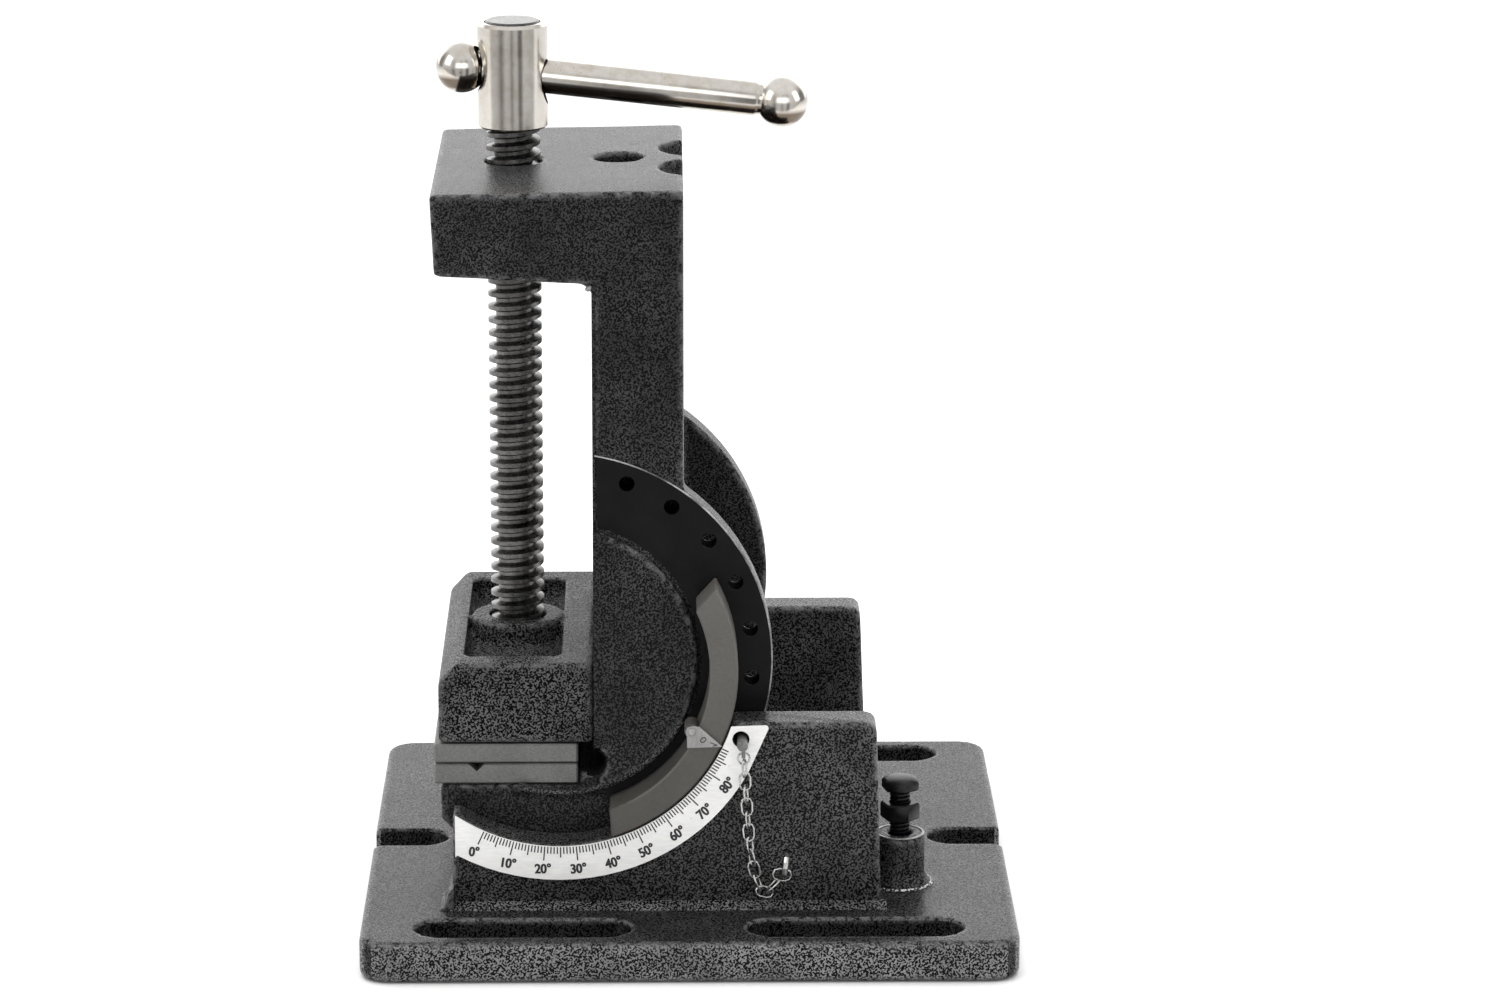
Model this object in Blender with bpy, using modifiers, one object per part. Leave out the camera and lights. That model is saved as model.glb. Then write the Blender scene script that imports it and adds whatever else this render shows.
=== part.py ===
"""Tilting drill press vise, standing at its 90 degree index position.

World frame: X to the right, Y away from the front, Z up, origin at the centre of the
base's underside. All constants below are in millimetres.
"""

import math

import bmesh
import bpy
from mathutils import Matrix, Vector

MM = 0.001

# ---- base plate ----
BASE_L, BASE_D, BASE_T = 191.0, 197.0, 12.0
BASE_CORNER_R, BASE_EDGE_R = 8.5, 1.4
SLOT_W = 16.0
SLOT_Y, SLOT_X0, SLOT_X1 = 84.5, 16.7, 79.5
END_SLOT_X = 73.0

# ---- cheeks and tilt axis ----
TILT_X, TILT_Z = -37.8, 83.4
CHEEK_OUT, CHEEK_IN = 65.6, 52.6
CHEEK_TOP_FRONT, CHEEK_TOP_REAR = 68.0, 69.4
SADDLE_R = 52.7
SADDLE_LEFT_ANGLE = -123.2

# ---- dial, index pin, chain ----
DIAL_IN_R, DIAL_OUT_R, DIAL_FRONT, DIAL_BACK = 52.7, 62.8, -66.6, -65.9
INDEX_R, INDEX_ANGLE, INDEX_HOLE_R = 56.6, -20.7, 2.45
PIN_R, PIN_DROP_X, PIN_DROP_Z, PIN_FRONT = 1.55, 0.42, -0.5, -72.2

# ---- vise body ----
VISE_W = 103.0
BED_X0, BED_X1 = -27.45, -1.2
BED_Z0 = 23.4
BLOCK_Z0, BLOCK_Z1 = 195.2, 222.6
WEB_BACK = -13.5
GROOVE_W, GROOVE_DEPTH, SLOT_BED_W = 32.0, 3.0, 20.0
FLANGE_R, FLANGE_IN = 62.5, 42.0
ARC_IN_R, ARC_OUT_R, ARC_FRONT = 44.0, 52.2, 66.4
ARC_A0, ARC_A1 = -72.0, 27.0

# ---- jaws ----
FIXED_TOP = 45.0
JAW_STEP_Z = 49.1
RELIEF_X, RELIEF_Z, RELIEF_R = -28.2, 52.6, 4.1
NOTCH_X, NOTCH_Y, NOTCH_R = 4.6, 14.8, 12.8
PLATE_X0, PLATE_X1 = -74.8, -32.5
JAW_Z0, JAW_Z1 = 57.7, 81.9
JAW_X0, JAW_X1 = -73.4, -27.85
JAW_BOSS_R, JAW_BOSS_TOP = 13.9, 83.0
RECESS_FLOOR, RECESS_Y = 76.4, 42.5

# ---- lead screw and handle ----
SCREW_X, SCREW_R = -51.1, 8.0
SCREW_Z0, SCREW_TOP = 65.0, 263.7
HUB_R, HUB_Z0, HUB_Z1 = 10.35, 231.9, 263.2
CROSS_Z, CROSS_R, CROSS_CHAMFER = 248.05, 6.75, 1.3
BAR_R, BAR_DROOP, BALL_R = 5.15, 6.4, 7.6
BAR_SHORT, BAR_LONG = 15.0, 79.7

# ---- stop bolt ----
STOP_X, STOP_Y, STOP_BOSS_R, STOP_BOSS_TOP = 62.6, -43.6, 7.4, 27.6

for item in list(bpy.data.objects):
    bpy.data.objects.remove(item, do_unlink=True)
for group in list(bpy.data.collections):
    bpy.data.collections.remove(group)

scene = bpy.context.scene
scene.unit_settings.system = "METRIC"
scene.unit_settings.scale_length = 1.0
parts = bpy.data.collections.new("tilting_drill_press_vise")
cutters = bpy.data.collections.new("cutters")
scene.collection.children.link(parts)
scene.collection.children.link(cutters)

COLOURS = {
    "hammertone_paint": ((0.035, 0.036, 0.038, 1), 0.2, 0.45),
    "machined_steel": ((0.42, 0.42, 0.41, 1), 1.0, 0.35),
    "arc_steel": ((0.10, 0.095, 0.09, 1), 0.8, 0.45),
    "screw_steel": ((0.12, 0.115, 0.11, 1), 1.0, 0.38),
    "nickel": ((0.78, 0.75, 0.71, 1), 1.0, 0.16),
    "black_oxide": ((0.015, 0.015, 0.016, 1), 0.7, 0.4),
    "dial_white": ((0.72, 0.72, 0.70, 1), 0.1, 0.4),
    "zinc": ((0.62, 0.62, 0.62, 1), 1.0, 0.25),
}
ORIGIN = {
    "base": (0, 0, 0),
    "vise": (TILT_X, 0, TILT_Z),
    "jaw": (SCREW_X, 0, JAW_Z0),
    "screw": (SCREW_X, 0, SCREW_Z0),
    "bar": (SCREW_X, 0, CROSS_Z),
    "stop": (STOP_X, STOP_Y, STOP_BOSS_TOP),
}


def polar(radius, angle, cx=TILT_X, cz=TILT_Z):
    a = math.radians(angle)
    return cx + radius * math.cos(a), cz + radius * math.sin(a)


def arc(radius, a0, a1, step=4.0, cx=TILT_X, cz=TILT_Z):
    n = max(2, int(round(abs(a1 - a0) / step)))
    return [polar(radius, a0 + (a1 - a0) * i / n, cx, cz) for i in range(n + 1)]


def material(obj, key):
    """Each sub-part carries its own material."""
    mat = bpy.data.materials.new(obj.name + "_" + key)
    mat.use_nodes = True
    shader = mat.node_tree.nodes["Principled BSDF"]
    colour, metallic, rough = COLOURS[key]
    shader.inputs["Base Color"].default_value = colour
    shader.inputs["Metallic"].default_value = metallic
    shader.inputs["Roughness"].default_value = rough
    obj.data.materials.clear()
    obj.data.materials.append(mat)


def place(mesh, name, collection, origin):
    """Gives the mesh, whose points are world millimetres, to an object with its origin on the joint axis."""
    mesh.transform(Matrix.Translation([-c for c in origin]))
    mesh.transform(Matrix.Scale(MM, 4))
    obj = bpy.data.objects.new(name, mesh)
    obj.location = [c * MM for c in origin]
    collection.objects.link(obj)
    if collection is cutters:
        obj.hide_render = True
        obj.display_type = "WIRE"
    return obj


def from_bm(bm, name, collection, origin):
    bmesh.ops.recalc_face_normals(bm, faces=bm.faces)
    mesh = bpy.data.meshes.new(name)
    bm.to_mesh(mesh)
    bm.free()
    return place(mesh, name, collection, origin)


def box(name, x, y, z, collection=None, origin=(0, 0, 0)):
    bm = bmesh.new()
    bmesh.ops.create_cube(bm, size=1.0)
    size = Vector((x[1] - x[0], y[1] - y[0], z[1] - z[0]))
    middle = Vector((x[1] + x[0], y[1] + y[0], z[1] + z[0])) / 2
    bmesh.ops.scale(bm, vec=size, verts=bm.verts)
    bmesh.ops.translate(bm, vec=middle, verts=bm.verts)
    return from_bm(bm, name, collection or cutters, origin)


def cone(name, start, end, r0, r1, collection=None, origin=(0, 0, 0), segments=32, turn=0.0):
    """Cylinder or cone whose ends are the two world points."""
    a, b = Vector(start), Vector(end)
    bm = bmesh.new()
    bmesh.ops.create_cone(
        bm, cap_ends=True, segments=segments, radius1=r0, radius2=r1, depth=(b - a).length
    )
    bmesh.ops.rotate(bm, cent=(0, 0, 0), matrix=Matrix.Rotation(turn, 3, "Z"), verts=bm.verts)
    spin = Vector((0, 0, 1)).rotation_difference((b - a).normalized()).to_matrix()
    bmesh.ops.rotate(bm, cent=(0, 0, 0), matrix=spin, verts=bm.verts)
    bmesh.ops.translate(bm, vec=(a + b) / 2, verts=bm.verts)
    return from_bm(bm, name, collection or cutters, origin)


def cylinder(name, start, end, radius, collection=None, origin=(0, 0, 0), segments=32, turn=0.0):
    return cone(name, start, end, radius, radius, collection, origin, segments, turn)


def sphere(name, centre, radius, collection=None, origin=(0, 0, 0), u=28, v=16):
    bm = bmesh.new()
    bmesh.ops.create_uvsphere(bm, u_segments=u, v_segments=v, radius=radius)
    bmesh.ops.translate(bm, vec=centre, verts=bm.verts)
    return from_bm(bm, name, collection or cutters, origin)


def prism(name, outline, axis, lo, hi, collection=None, origin=(0, 0, 0)):
    """A flat closed curve, extruded along one axis from lo to hi and turned into a mesh.
    The outline is in (x, z) for axis Y, (y, z) for axis X and (x, y) for axis Z."""
    curve = bpy.data.curves.new(name, "CURVE")
    curve.dimensions = "2D"
    curve.fill_mode = "BOTH"
    curve.extrude = (hi - lo) / 2
    spline = curve.splines.new("POLY")
    spline.points.add(len(outline) - 1)
    for point, (a, b) in zip(spline.points, outline):
        point.co = (a, b, 0, 1)
    spline.use_cyclic_u = True
    holder = bpy.data.objects.new(name + "_outline", curve)
    cutters.objects.link(holder)
    graph = bpy.context.evaluated_depsgraph_get()
    graph.update()
    mesh = bpy.data.meshes.new_from_object(holder.evaluated_get(graph))
    bpy.data.objects.remove(holder, do_unlink=True)
    bpy.data.curves.remove(curve)
    bm = bmesh.new()
    bm.from_mesh(mesh)
    bpy.data.meshes.remove(mesh)
    bmesh.ops.remove_doubles(bm, verts=bm.verts, dist=1e-4)
    middle = (lo + hi) / 2
    turns = {
        "Z": Matrix(((1, 0, 0, 0), (0, 1, 0, 0), (0, 0, 1, middle), (0, 0, 0, 1))),
        "Y": Matrix(((1, 0, 0, 0), (0, 0, 1, middle), (0, 1, 0, 0), (0, 0, 0, 1))),
        "X": Matrix(((0, 0, 1, middle), (1, 0, 0, 0), (0, 1, 0, 0), (0, 0, 0, 1))),
    }
    bm.transform(turns[axis])
    bmesh.ops.dissolve_limit(bm, angle_limit=0.002, verts=bm.verts, edges=bm.edges)
    return from_bm(bm, name, collection or cutters, origin)


def stadium(name, x0, x1, y, width, z0, z1, round_left=True, round_right=True):
    r = width / 2
    pts = []
    if round_right:
        pts += arc(r, -90, 90, 15, x1 - r, y)
    else:
        pts += [(x1, y - r), (x1, y + r)]
    if round_left:
        pts += arc(r, 90, 270, 15, x0 + r, y)
    else:
        pts += [(x0, y + r), (x0, y - r)]
    return prism(name, pts, "Z", z0, z1)


def bevel(obj, width, segments=2, angle=50):
    mod = obj.modifiers.new("edge_round", "BEVEL")
    mod.width = width * MM
    mod.segments = segments
    mod.limit_method = "ANGLE"
    mod.angle_limit = math.radians(angle)
    mod.use_clamp_overlap = True
    return obj


def combine(obj, others, operation, solver="EXACT"):
    for other in others:
        mod = obj.modifiers.new(operation.lower() + "_" + other.name, "BOOLEAN")
        mod.operation = operation
        mod.solver = solver
        mod.object = other
    return obj


def add(obj, *others, solver="EXACT"):
    return combine(obj, others, "UNION", solver)


def cut(obj, *others, solver="EXACT"):
    return combine(obj, others, "DIFFERENCE", solver)


# ---------------------------------------------------------------- base casting
corner = BASE_CORNER_R
hx, hy = BASE_L / 2, BASE_D / 2
plate_outline = (
    arc(corner, -90, 0, 18, hx - corner, -hy + corner)
    + arc(corner, 0, 90, 18, hx - corner, hy - corner)
    + arc(corner, 90, 180, 18, -hx + corner, hy - corner)
    + arc(corner, 180, 270, 18, -hx + corner, -hy + corner)
)
base = bevel(prism("base_casting", plate_outline, "Z", 0, BASE_T, parts), BASE_EDGE_R)


def cheek_outline(top, right_top):
    half = math.degrees(math.asin((top - TILT_Z) / SADDLE_R))
    return (
        [(-69.6, 6.0), (56.5, 6.0)]
        + arc(3.0, 0, 90, 30, right_top - 3.0, top - 3.0)
        + [(polar(SADDLE_R, half)[0] + 0.9, top)]
        + arc(SADDLE_R, half - 1.0, SADDLE_LEFT_ANGLE, 4.2)
        + [(-68.9, 39.7)]
    )


front_cheek = bevel(
    prism("front_cheek", cheek_outline(CHEEK_TOP_FRONT, 54.8), "Y", -CHEEK_OUT, -CHEEK_IN), 0.8, 1, 65
)
rear_cheek = bevel(
    prism("rear_cheek", cheek_outline(CHEEK_TOP_REAR, 54.2), "Y", CHEEK_IN, CHEEK_OUT), 0.8, 1, 65
)
stop_boss = cylinder("stop_boss", (STOP_X, STOP_Y, 10), (STOP_X, STOP_Y, STOP_BOSS_TOP), STOP_BOSS_R)
bevel(stop_boss, 0.6, 1, 60)
stop_foot = cone("stop_boss_foot", (STOP_X, STOP_Y, 11), (STOP_X, STOP_Y, 15.4), 10.6, STOP_BOSS_R - 0.4)
add(base, front_cheek, rear_cheek, stop_boss, stop_foot, solver="MANIFOLD")

hole_x, hole_z = polar(INDEX_R, INDEX_ANGLE)
pin_x, pin_z = hole_x + PIN_DROP_X, hole_z + PIN_DROP_Z
lock_x, lock_z = polar(57.5, -58.0)
STAPLE_HIGH, STAPLE_LOW, STAPLE_WIRE = (28.5, 28.5), (27.75, 22.3), 0.85
base_cuts = [
    stadium("slot_front_left", -SLOT_X1, -SLOT_X0, -SLOT_Y, SLOT_W, -2, 14),
    stadium("slot_front_right", SLOT_X0, SLOT_X1, -SLOT_Y, SLOT_W, -2, 14),
    stadium("slot_rear_left", -SLOT_X1, -SLOT_X0, SLOT_Y, SLOT_W, -2, 14),
    stadium("slot_rear_right", SLOT_X0, SLOT_X1, SLOT_Y, SLOT_W, -2, 14),
    stadium("slot_end_left", -100, -END_SLOT_X, 0, SLOT_W, -2, 14, round_left=False),
    stadium("slot_end_right", END_SLOT_X, 100, 0, SLOT_W, -2, 14, round_right=False),
    cylinder("index_bore", (hole_x, -70, hole_z), (hole_x, -48, hole_z), INDEX_HOLE_R, segments=24),
    cylinder("stop_bore", (STOP_X, STOP_Y, 8), (STOP_X, STOP_Y, 30), 3.4, segments=24),
    cylinder("lock_bore", (lock_x, 48, lock_z), (lock_x, 70, lock_z), 4.4, segments=24),
    cylinder("staple_bore_upper", (STAPLE_HIGH[0], -70, STAPLE_HIGH[1]), (STAPLE_HIGH[0], -60, STAPLE_HIGH[1]), 1.2, segments=14),
    cylinder("staple_bore_lower", (STAPLE_LOW[0], -70, STAPLE_LOW[1]), (STAPLE_LOW[0], -60, STAPLE_LOW[1]), 1.2, segments=14),
]
cut(base, *base_cuts, solver="MANIFOLD")
material(base, "hammertone_paint")

# ---------------------------------------------------------------- dial plate
dial_outline = (
    arc(DIAL_IN_R, -125.6, -17.9, 4.0)
    + arc(0.9, 90, 0, 45, 22.3, 66.6)
    + arc(DIAL_OUT_R, -28.6, -118.4, 4.0)
    + [(-68.3, 27.6)]
)
dial_outline = [p for p in dial_outline if p[0] > -68.4]
dial_outline.insert(0, (-68.3, 40.3))
dial = prism("dial_plate", dial_outline, "Y", DIAL_FRONT, DIAL_BACK, parts, ORIGIN["base"])
cut(dial, cylinder("dial_pin_hole", (hole_x, -70, hole_z), (hole_x, -60, hole_z), INDEX_HOLE_R + 0.05, segments=28))
material(dial, "dial_white")

# ---------------------------------------------------------------- vise body
half_w = VISE_W / 2
vise = bevel(
    box("vise_body", (BED_X0, BED_X1), (-half_w, half_w), (BED_Z0, 215.0), parts, ORIGIN["vise"]), 1.3
)
block = bevel(
    prism(
        "end_block",
        [(-73.0, 197.7), (-28.0, 195.2), (-4.0, 195.2), (BED_X1, 199.0), (BED_X1, BLOCK_Z1), (-74.1, 221.5)],
        "Y", -half_w, half_w,
    ), 1.3, 2, 40,
)
fixed_jaw = bevel(
    prism(
        "fixed_jaw",
        [(-73.0, FIXED_TOP), (-73.0, 34.6), (-63.6, 25.2), (-40.0, 24.2), (-18.0, 24.2), (-18.0, FIXED_TOP)],
        "Y", -half_w, half_w,
    ), 0.8, 1, 40,
)
flange_outline = arc(FLANGE_R, -73.0, 60.0, 3.6) + [(-14.0, 134.0), (-14.0, 26.0)]
front_flange = bevel(prism("front_flange", flange_outline, "Y", -half_w, -FLANGE_IN), 1.0, 1, 60)
rear_flange = bevel(prism("rear_flange", flange_outline, "Y", FLANGE_IN, half_w), 1.0, 1, 60)
disc_outline = arc(40.4, -109.5, 72.0, 5.0) + [(-26.2, 121.6), (-26.2, 43.4), (-51.0, 43.4)]
disc_outline = [q for q in disc_outline if q[0] >= -51.2]
front_disc = bevel(prism("front_disc", disc_outline, "Y", -54.2, -50.5), 1.0, 1, 60)
rear_disc = bevel(prism("rear_disc", disc_outline, "Y", 50.5, 54.2), 1.0, 1, 60)
inner_corner = prism(
    "inner_corner", [(-30.2, 196.6), (-30.2, 195.2), (-27.8, 192.6), (-26.0, 192.6), (-26.0, 196.6)], "Y", -half_w + 1.2, half_w - 1.2
)
jaw_step = bevel(box("jaw_step", (PLATE_X1 + 0.35, -20.0), (-half_w + 0.4, half_w - 0.4), (FIXED_TOP - 6.0, JAW_STEP_Z)), 0.5, 1)
add(vise, block, fixed_jaw, jaw_step, front_flange, rear_flange, front_disc, rear_disc, inner_corner, solver="MANIFOLD")

vise_cuts = [
    box("bed_groove", (BED_X0 - 4, BED_X0 + GROOVE_DEPTH), (-GROOVE_W / 2, GROOVE_W / 2), (50.0, 191.5)),
    box("bed_slot", (BED_X0 - 4, WEB_BACK + 2), (-SLOT_BED_W / 2, SLOT_BED_W / 2), (58.5, 188.0)),
    bevel(box("bed_pocket", (WEB_BACK, 6.0), (-33.0, 33.0), (56.0, 191.0)), 3.0, 2),
    cylinder("bed_notch_far", (NOTCH_X, NOTCH_Y, 186.0), (NOTCH_X, NOTCH_Y, 228.0), NOTCH_R, segments=44),
    cylinder("bed_notch_near", (NOTCH_X, -NOTCH_Y, 186.0), (NOTCH_X, -NOTCH_Y, 228.0), NOTCH_R, segments=44),
    cylinder("corner_relief", (RELIEF_X, -60, RELIEF_Z), (RELIEF_X, 60, RELIEF_Z), RELIEF_R, segments=32),
    cylinder("screw_bore", (SCREW_X, 0, 190), (SCREW_X, 0, 230), 8.5, segments=36),
    cylinder("block_hole", (-20.0, 2.0, 203.0), (-20.0, 2.0, 230), 7.3, segments=32),
]
for k in range(7):
    hx_, hz_ = polar(INDEX_R, INDEX_ANGLE + 15 * k)
    vise_cuts.append(cylinder("index_hole_%d" % (90 - 15 * k), (hx_, -60, hz_), (hx_, -40.0, hz_), INDEX_HOLE_R, segments=20))
groove_pts = arc(60.8, -63.0, 37.0, 5.0) + arc(54.2, 37.0, -63.0, 5.0)
vise_cuts.append(prism("lock_groove", groove_pts, "Y", 47.6, 56.0))
for y in (-30, 30):
    vise_cuts.append(cylinder("fixed_plate_bore_%d" % y, (-54.0, y, 30.0), (-54.0, y, 48.0), 2.9, segments=20))
cut(vise, *vise_cuts, solver="MANIFOLD")
material(vise, "hammertone_paint")

# ---------------------------------------------------------------- swivel arcs and pointer
arc_outline = arc(ARC_OUT_R, -73.1, 28.8, 3.4) + arc(ARC_IN_R, 25.1, -70.6, 3.4)
front_arc = prism("front_swivel_arc", arc_outline, "Y", -ARC_FRONT, -half_w - 0.3, parts, ORIGIN["vise"])
bevel(front_arc, 0.5, 1, 60)
rivet_x, rivet_z = polar(42.4, -24.3)
add(front_arc, cylinder("pointer_lug", (rivet_x, -ARC_FRONT, rivet_z), (rivet_x, -59.0, rivet_z), 2.1, segments=20))
cut(front_arc, cylinder("pointer_rivet_bore", (rivet_x, -70, rivet_z), (rivet_x, -63.0, rivet_z), 0.95, segments=14))
material(front_arc, "arc_steel")
rear_arc = prism("rear_swivel_arc", arc_outline, "Y", half_w + 0.3, ARC_FRONT, parts, ORIGIN["vise"])
bevel(rear_arc, 0.5, 1, 60)
material(rear_arc, "arc_steel")

pointer_outline = [polar(52.3, -24.9), polar(44.0, -21.4), (rivet_x + 0.4, rivet_z + 1.7), (rivet_x - 1.2, rivet_z + 1.2), (rivet_x - 1.8, rivet_z), (rivet_x - 1.4, rivet_z - 1.4), polar(43.5, -30.9)]
pointer = prism("pointer", pointer_outline, "Y", -67.3, -ARC_FRONT - 0.3, parts, ORIGIN["vise"])
cut(pointer, cylinder("pointer_hole", (rivet_x, -70, rivet_z), (rivet_x, -63.0, rivet_z), 0.95, segments=14))
material(pointer, "zinc")
rivet = cylinder("pointer_rivet", (rivet_x, -68.0, rivet_z), (rivet_x, -63.6, rivet_z), 0.6, parts, ORIGIN["vise"], 14)
add(rivet, cone("pointer_rivet_head", (rivet_x, -67.6, rivet_z), (rivet_x, -68.4, rivet_z), 1.25, 0.7, segments=16))
material(rivet, "zinc")

# ---------------------------------------------------------------- jaw plates
fixed_plate = bevel(
    box("fixed_jaw_plate", (PLATE_X0, PLATE_X1), (-half_w, half_w), (45.3, 51.4), parts, ORIGIN["vise"]), 0.5, 1
)
v_long = prism("v_groove_long", [(-64.9, 51.6), (-62.3, 49.1), (-59.7, 51.6), (-59.7, 53.0), (-64.9, 53.0)], "Y", -60, 60)
v_short = prism("v_groove_short", [(-2.6, 51.6), (0, 49.1), (2.6, 51.6), (2.6, 53), (-2.6, 53)], "X", -80, -28)
cut(fixed_plate, v_long, v_short)
moving_plate = bevel(
    box("moving_jaw_plate", (PLATE_X0, PLATE_X1), (-half_w, half_w), (51.7, 57.4), parts, ORIGIN["jaw"]), 0.5, 1
)
for side, y in (("front", -30), ("rear", 30)):
    cut(fixed_plate, cylinder("fixed_clear_" + side, (-54, y, 44), (-54, y, 53), 2.9, segments=20))
    cut(fixed_plate, cone("fixed_sink_" + side, (-54, y, 47.9), (-54, y, 51.9), 2.0, 6.0, segments=24))
    cut(moving_plate, cylinder("moving_clear_" + side, (-54, y, 50), (-54, y, 59), 2.9, segments=20))
    cut(moving_plate, cone("moving_sink_" + side, (-54, y, 51.2), (-54, y, 55.2), 6.0, 2.0, segments=24))
    screw = cylinder("fixed_plate_screw_" + side, (-54, y, 32), (-54, y, 50.6), 2.5, parts, ORIGIN["vise"], 20)
    add(screw, cone("fixed_screw_head_" + side, (-54, y, 48.5), (-54, y, 51.0), 2.3, 4.8, segments=24))
    cut(screw, cylinder("fixed_screw_hex_" + side, (-54, y, 49.4), (-54, y, 53), 1.7, segments=6))
    material(screw, "black_oxide")
    screw = cylinder("moving_plate_screw_" + side, (-54, y, 52.5), (-54, y, 71), 2.5, parts, ORIGIN["jaw"], 20)
    add(screw, cone("moving_screw_head_" + side, (-54, y, 52.1), (-54, y, 54.6), 4.8, 2.3, segments=24))
    cut(screw, cylinder("moving_screw_hex_" + side, (-54, y, 50), (-54, y, 53.7), 1.7, segments=6))
    material(screw, "black_oxide")
material(fixed_plate, "machined_steel")
material(moving_plate, "machined_steel")

# ---------------------------------------------------------------- movable jaw
jaw = bevel(
    prism(
        "moving_jaw",
        [(JAW_X0, JAW_Z0), (JAW_X1, JAW_Z0), (JAW_X1, JAW_Z1), (-68.0, JAW_Z1), (JAW_X0, 76.1)],
        "Y", -half_w, half_w, parts, ORIGIN["jaw"],
    ), 0.9, 1, 40,
)
cut(jaw, bevel(box("jaw_recess", (-66.0, -37.4), (-RECESS_Y, RECESS_Y), (RECESS_FLOOR, 90)), 2.2, 1))
add(
    jaw,
    bevel(cylinder("jaw_boss", (SCREW_X, 0, 74.0), (SCREW_X, 0, JAW_BOSS_TOP), JAW_BOSS_R, segments=40), 0.8, 1, 60),
    box("jaw_tongue", (-32.0, BED_X0 + GROOVE_DEPTH - 0.4), (-15.6, 15.6), (59.5, 79.4)),
    box("jaw_neck", (-32.0, WEB_BACK), (-9.6, 9.6), (60.5, 78.6)),
)
RETAIN_X, RETAIN_Z = SCREW_X + 8.3, 72.4
cut(
    jaw,
    cylinder("jaw_screw_bore", (SCREW_X, 0, 64.4), (SCREW_X, 0, 90), 8.5, segments=36),
    cylinder("jaw_pin_bore", (RETAIN_X, -22, RETAIN_Z), (RETAIN_X, 60, RETAIN_Z), 2.3, segments=20),
    cylinder("jaw_plate_bore_front", (-54, -30, 50), (-54, -30, 73), 2.9, segments=20),
    cylinder("jaw_plate_bore_rear", (-54, 30, 50), (-54, 30, 73), 2.9, segments=20),
    cylinder("keeper_bore_low", (-26, 0, 65), (-8, 0, 65), 2.9, segments=20),
    cylinder("keeper_bore_high", (-26, 0, 74.0), (-8, 0, 74.0), 2.9, segments=20),
)
material(jaw, "hammertone_paint")
retain = cylinder("retaining_pin", (RETAIN_X, -20, RETAIN_Z), (RETAIN_X, 20, RETAIN_Z), 1.9, parts, ORIGIN["jaw"], 20)
material(retain, "machined_steel")

keeper = bevel(box("keeper_plate", (-13.2, -9.0), (-27, 27), (59.0, 79.6), parts, ORIGIN["jaw"]), 0.6, 1)
for tag, z in (("low", 65.0), ("high", 74.0)):
    cut(keeper, cylinder("keeper_clear_" + tag, (-15, 0, z), (-6, 0, z), 2.9, segments=20))
    bolt = cylinder("keeper_screw_" + tag, (-24.0, 0, z), (-7.0, 0, z), 2.5, parts, ORIGIN["jaw"], 20)
    add(bolt, cylinder("keeper_screw_head_" + tag, (-8.6, 0, z), (-5.0, 0, z), 4.6, segments=6))
    material(bolt, "black_oxide")
material(keeper, "machined_steel")

# ---------------------------------------------------------------- lead screw, hub, handle
screw = cylinder("lead_screw", (SCREW_X, 0, SCREW_Z0), (SCREW_X, 0, SCREW_TOP), SCREW_R, parts, ORIGIN["screw"], 40)
bevel(screw, 0.6, 1, 60)
ring = cylinder("screw_neck_ring", (SCREW_X, 0, 70.1), (SCREW_X, 0, 74.7), 10.0, segments=40)
cut(ring, cylinder("screw_neck_core", (SCREW_X, 0, 70), (SCREW_X, 0, 78), 6.0, segments=40))
cross = cylinder("cross_hole", (SCREW_X - 14, 0, CROSS_Z), (SCREW_X + 14, 0, CROSS_Z), CROSS_R, segments=32)
cut(screw, ring, cross)
material(screw, "screw_steel")

hub = bevel(
    cylinder("handle_hub", (SCREW_X, 0, HUB_Z0), (SCREW_X, 0, HUB_Z1), HUB_R, parts, ORIGIN["screw"], 48), 0.9, 2, 60
)
sink = HUB_R - CROSS_CHAMFER
cut(
    hub,
    cylinder("hub_bore", (SCREW_X, 0, 228), (SCREW_X, 0, 268), SCREW_R + 0.35, segments=40),
    cylinder("hub_cross_hole", (SCREW_X - 14, 0, CROSS_Z), (SCREW_X + 14, 0, CROSS_Z), CROSS_R, segments=32),
    cone("hub_sink_left", (SCREW_X - sink, 0, CROSS_Z), (SCREW_X - sink - 4, 0, CROSS_Z), CROSS_R, CROSS_R + 4, segments=32),
    cone("hub_sink_right", (SCREW_X + sink, 0, CROSS_Z), (SCREW_X + sink + 4, 0, CROSS_Z), CROSS_R, CROSS_R + 4, segments=32),
)
material(hub, "nickel")

droop = math.radians(BAR_DROOP)
along = Vector((math.cos(droop), 0, -math.sin(droop)))
bar_middle = Vector((SCREW_X, 0, CROSS_Z))
left_ball = bar_middle - along * BAR_SHORT
right_ball = bar_middle + along * BAR_LONG
bar = cylinder("handle_bar", left_ball + along * 3.4, right_ball - along * 3.4, BAR_R, parts, ORIGIN["bar"], 32)
bevel(bar, 0.5, 1, 60)
material(bar, "nickel")
for tag, centre, sign in (("left", left_ball, 1), ("right", right_ball, -1)):
    ball = sphere("handle_ball_" + tag, centre, BALL_R, parts, ORIGIN["bar"])
    inner = centre + along * sign * 3.0
    outer = centre + along * sign * 12.0
    cut(ball, cylinder("ball_bore_" + tag, inner, outer, BAR_R + 0.35, segments=32))
    material(ball, "nickel")

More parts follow.
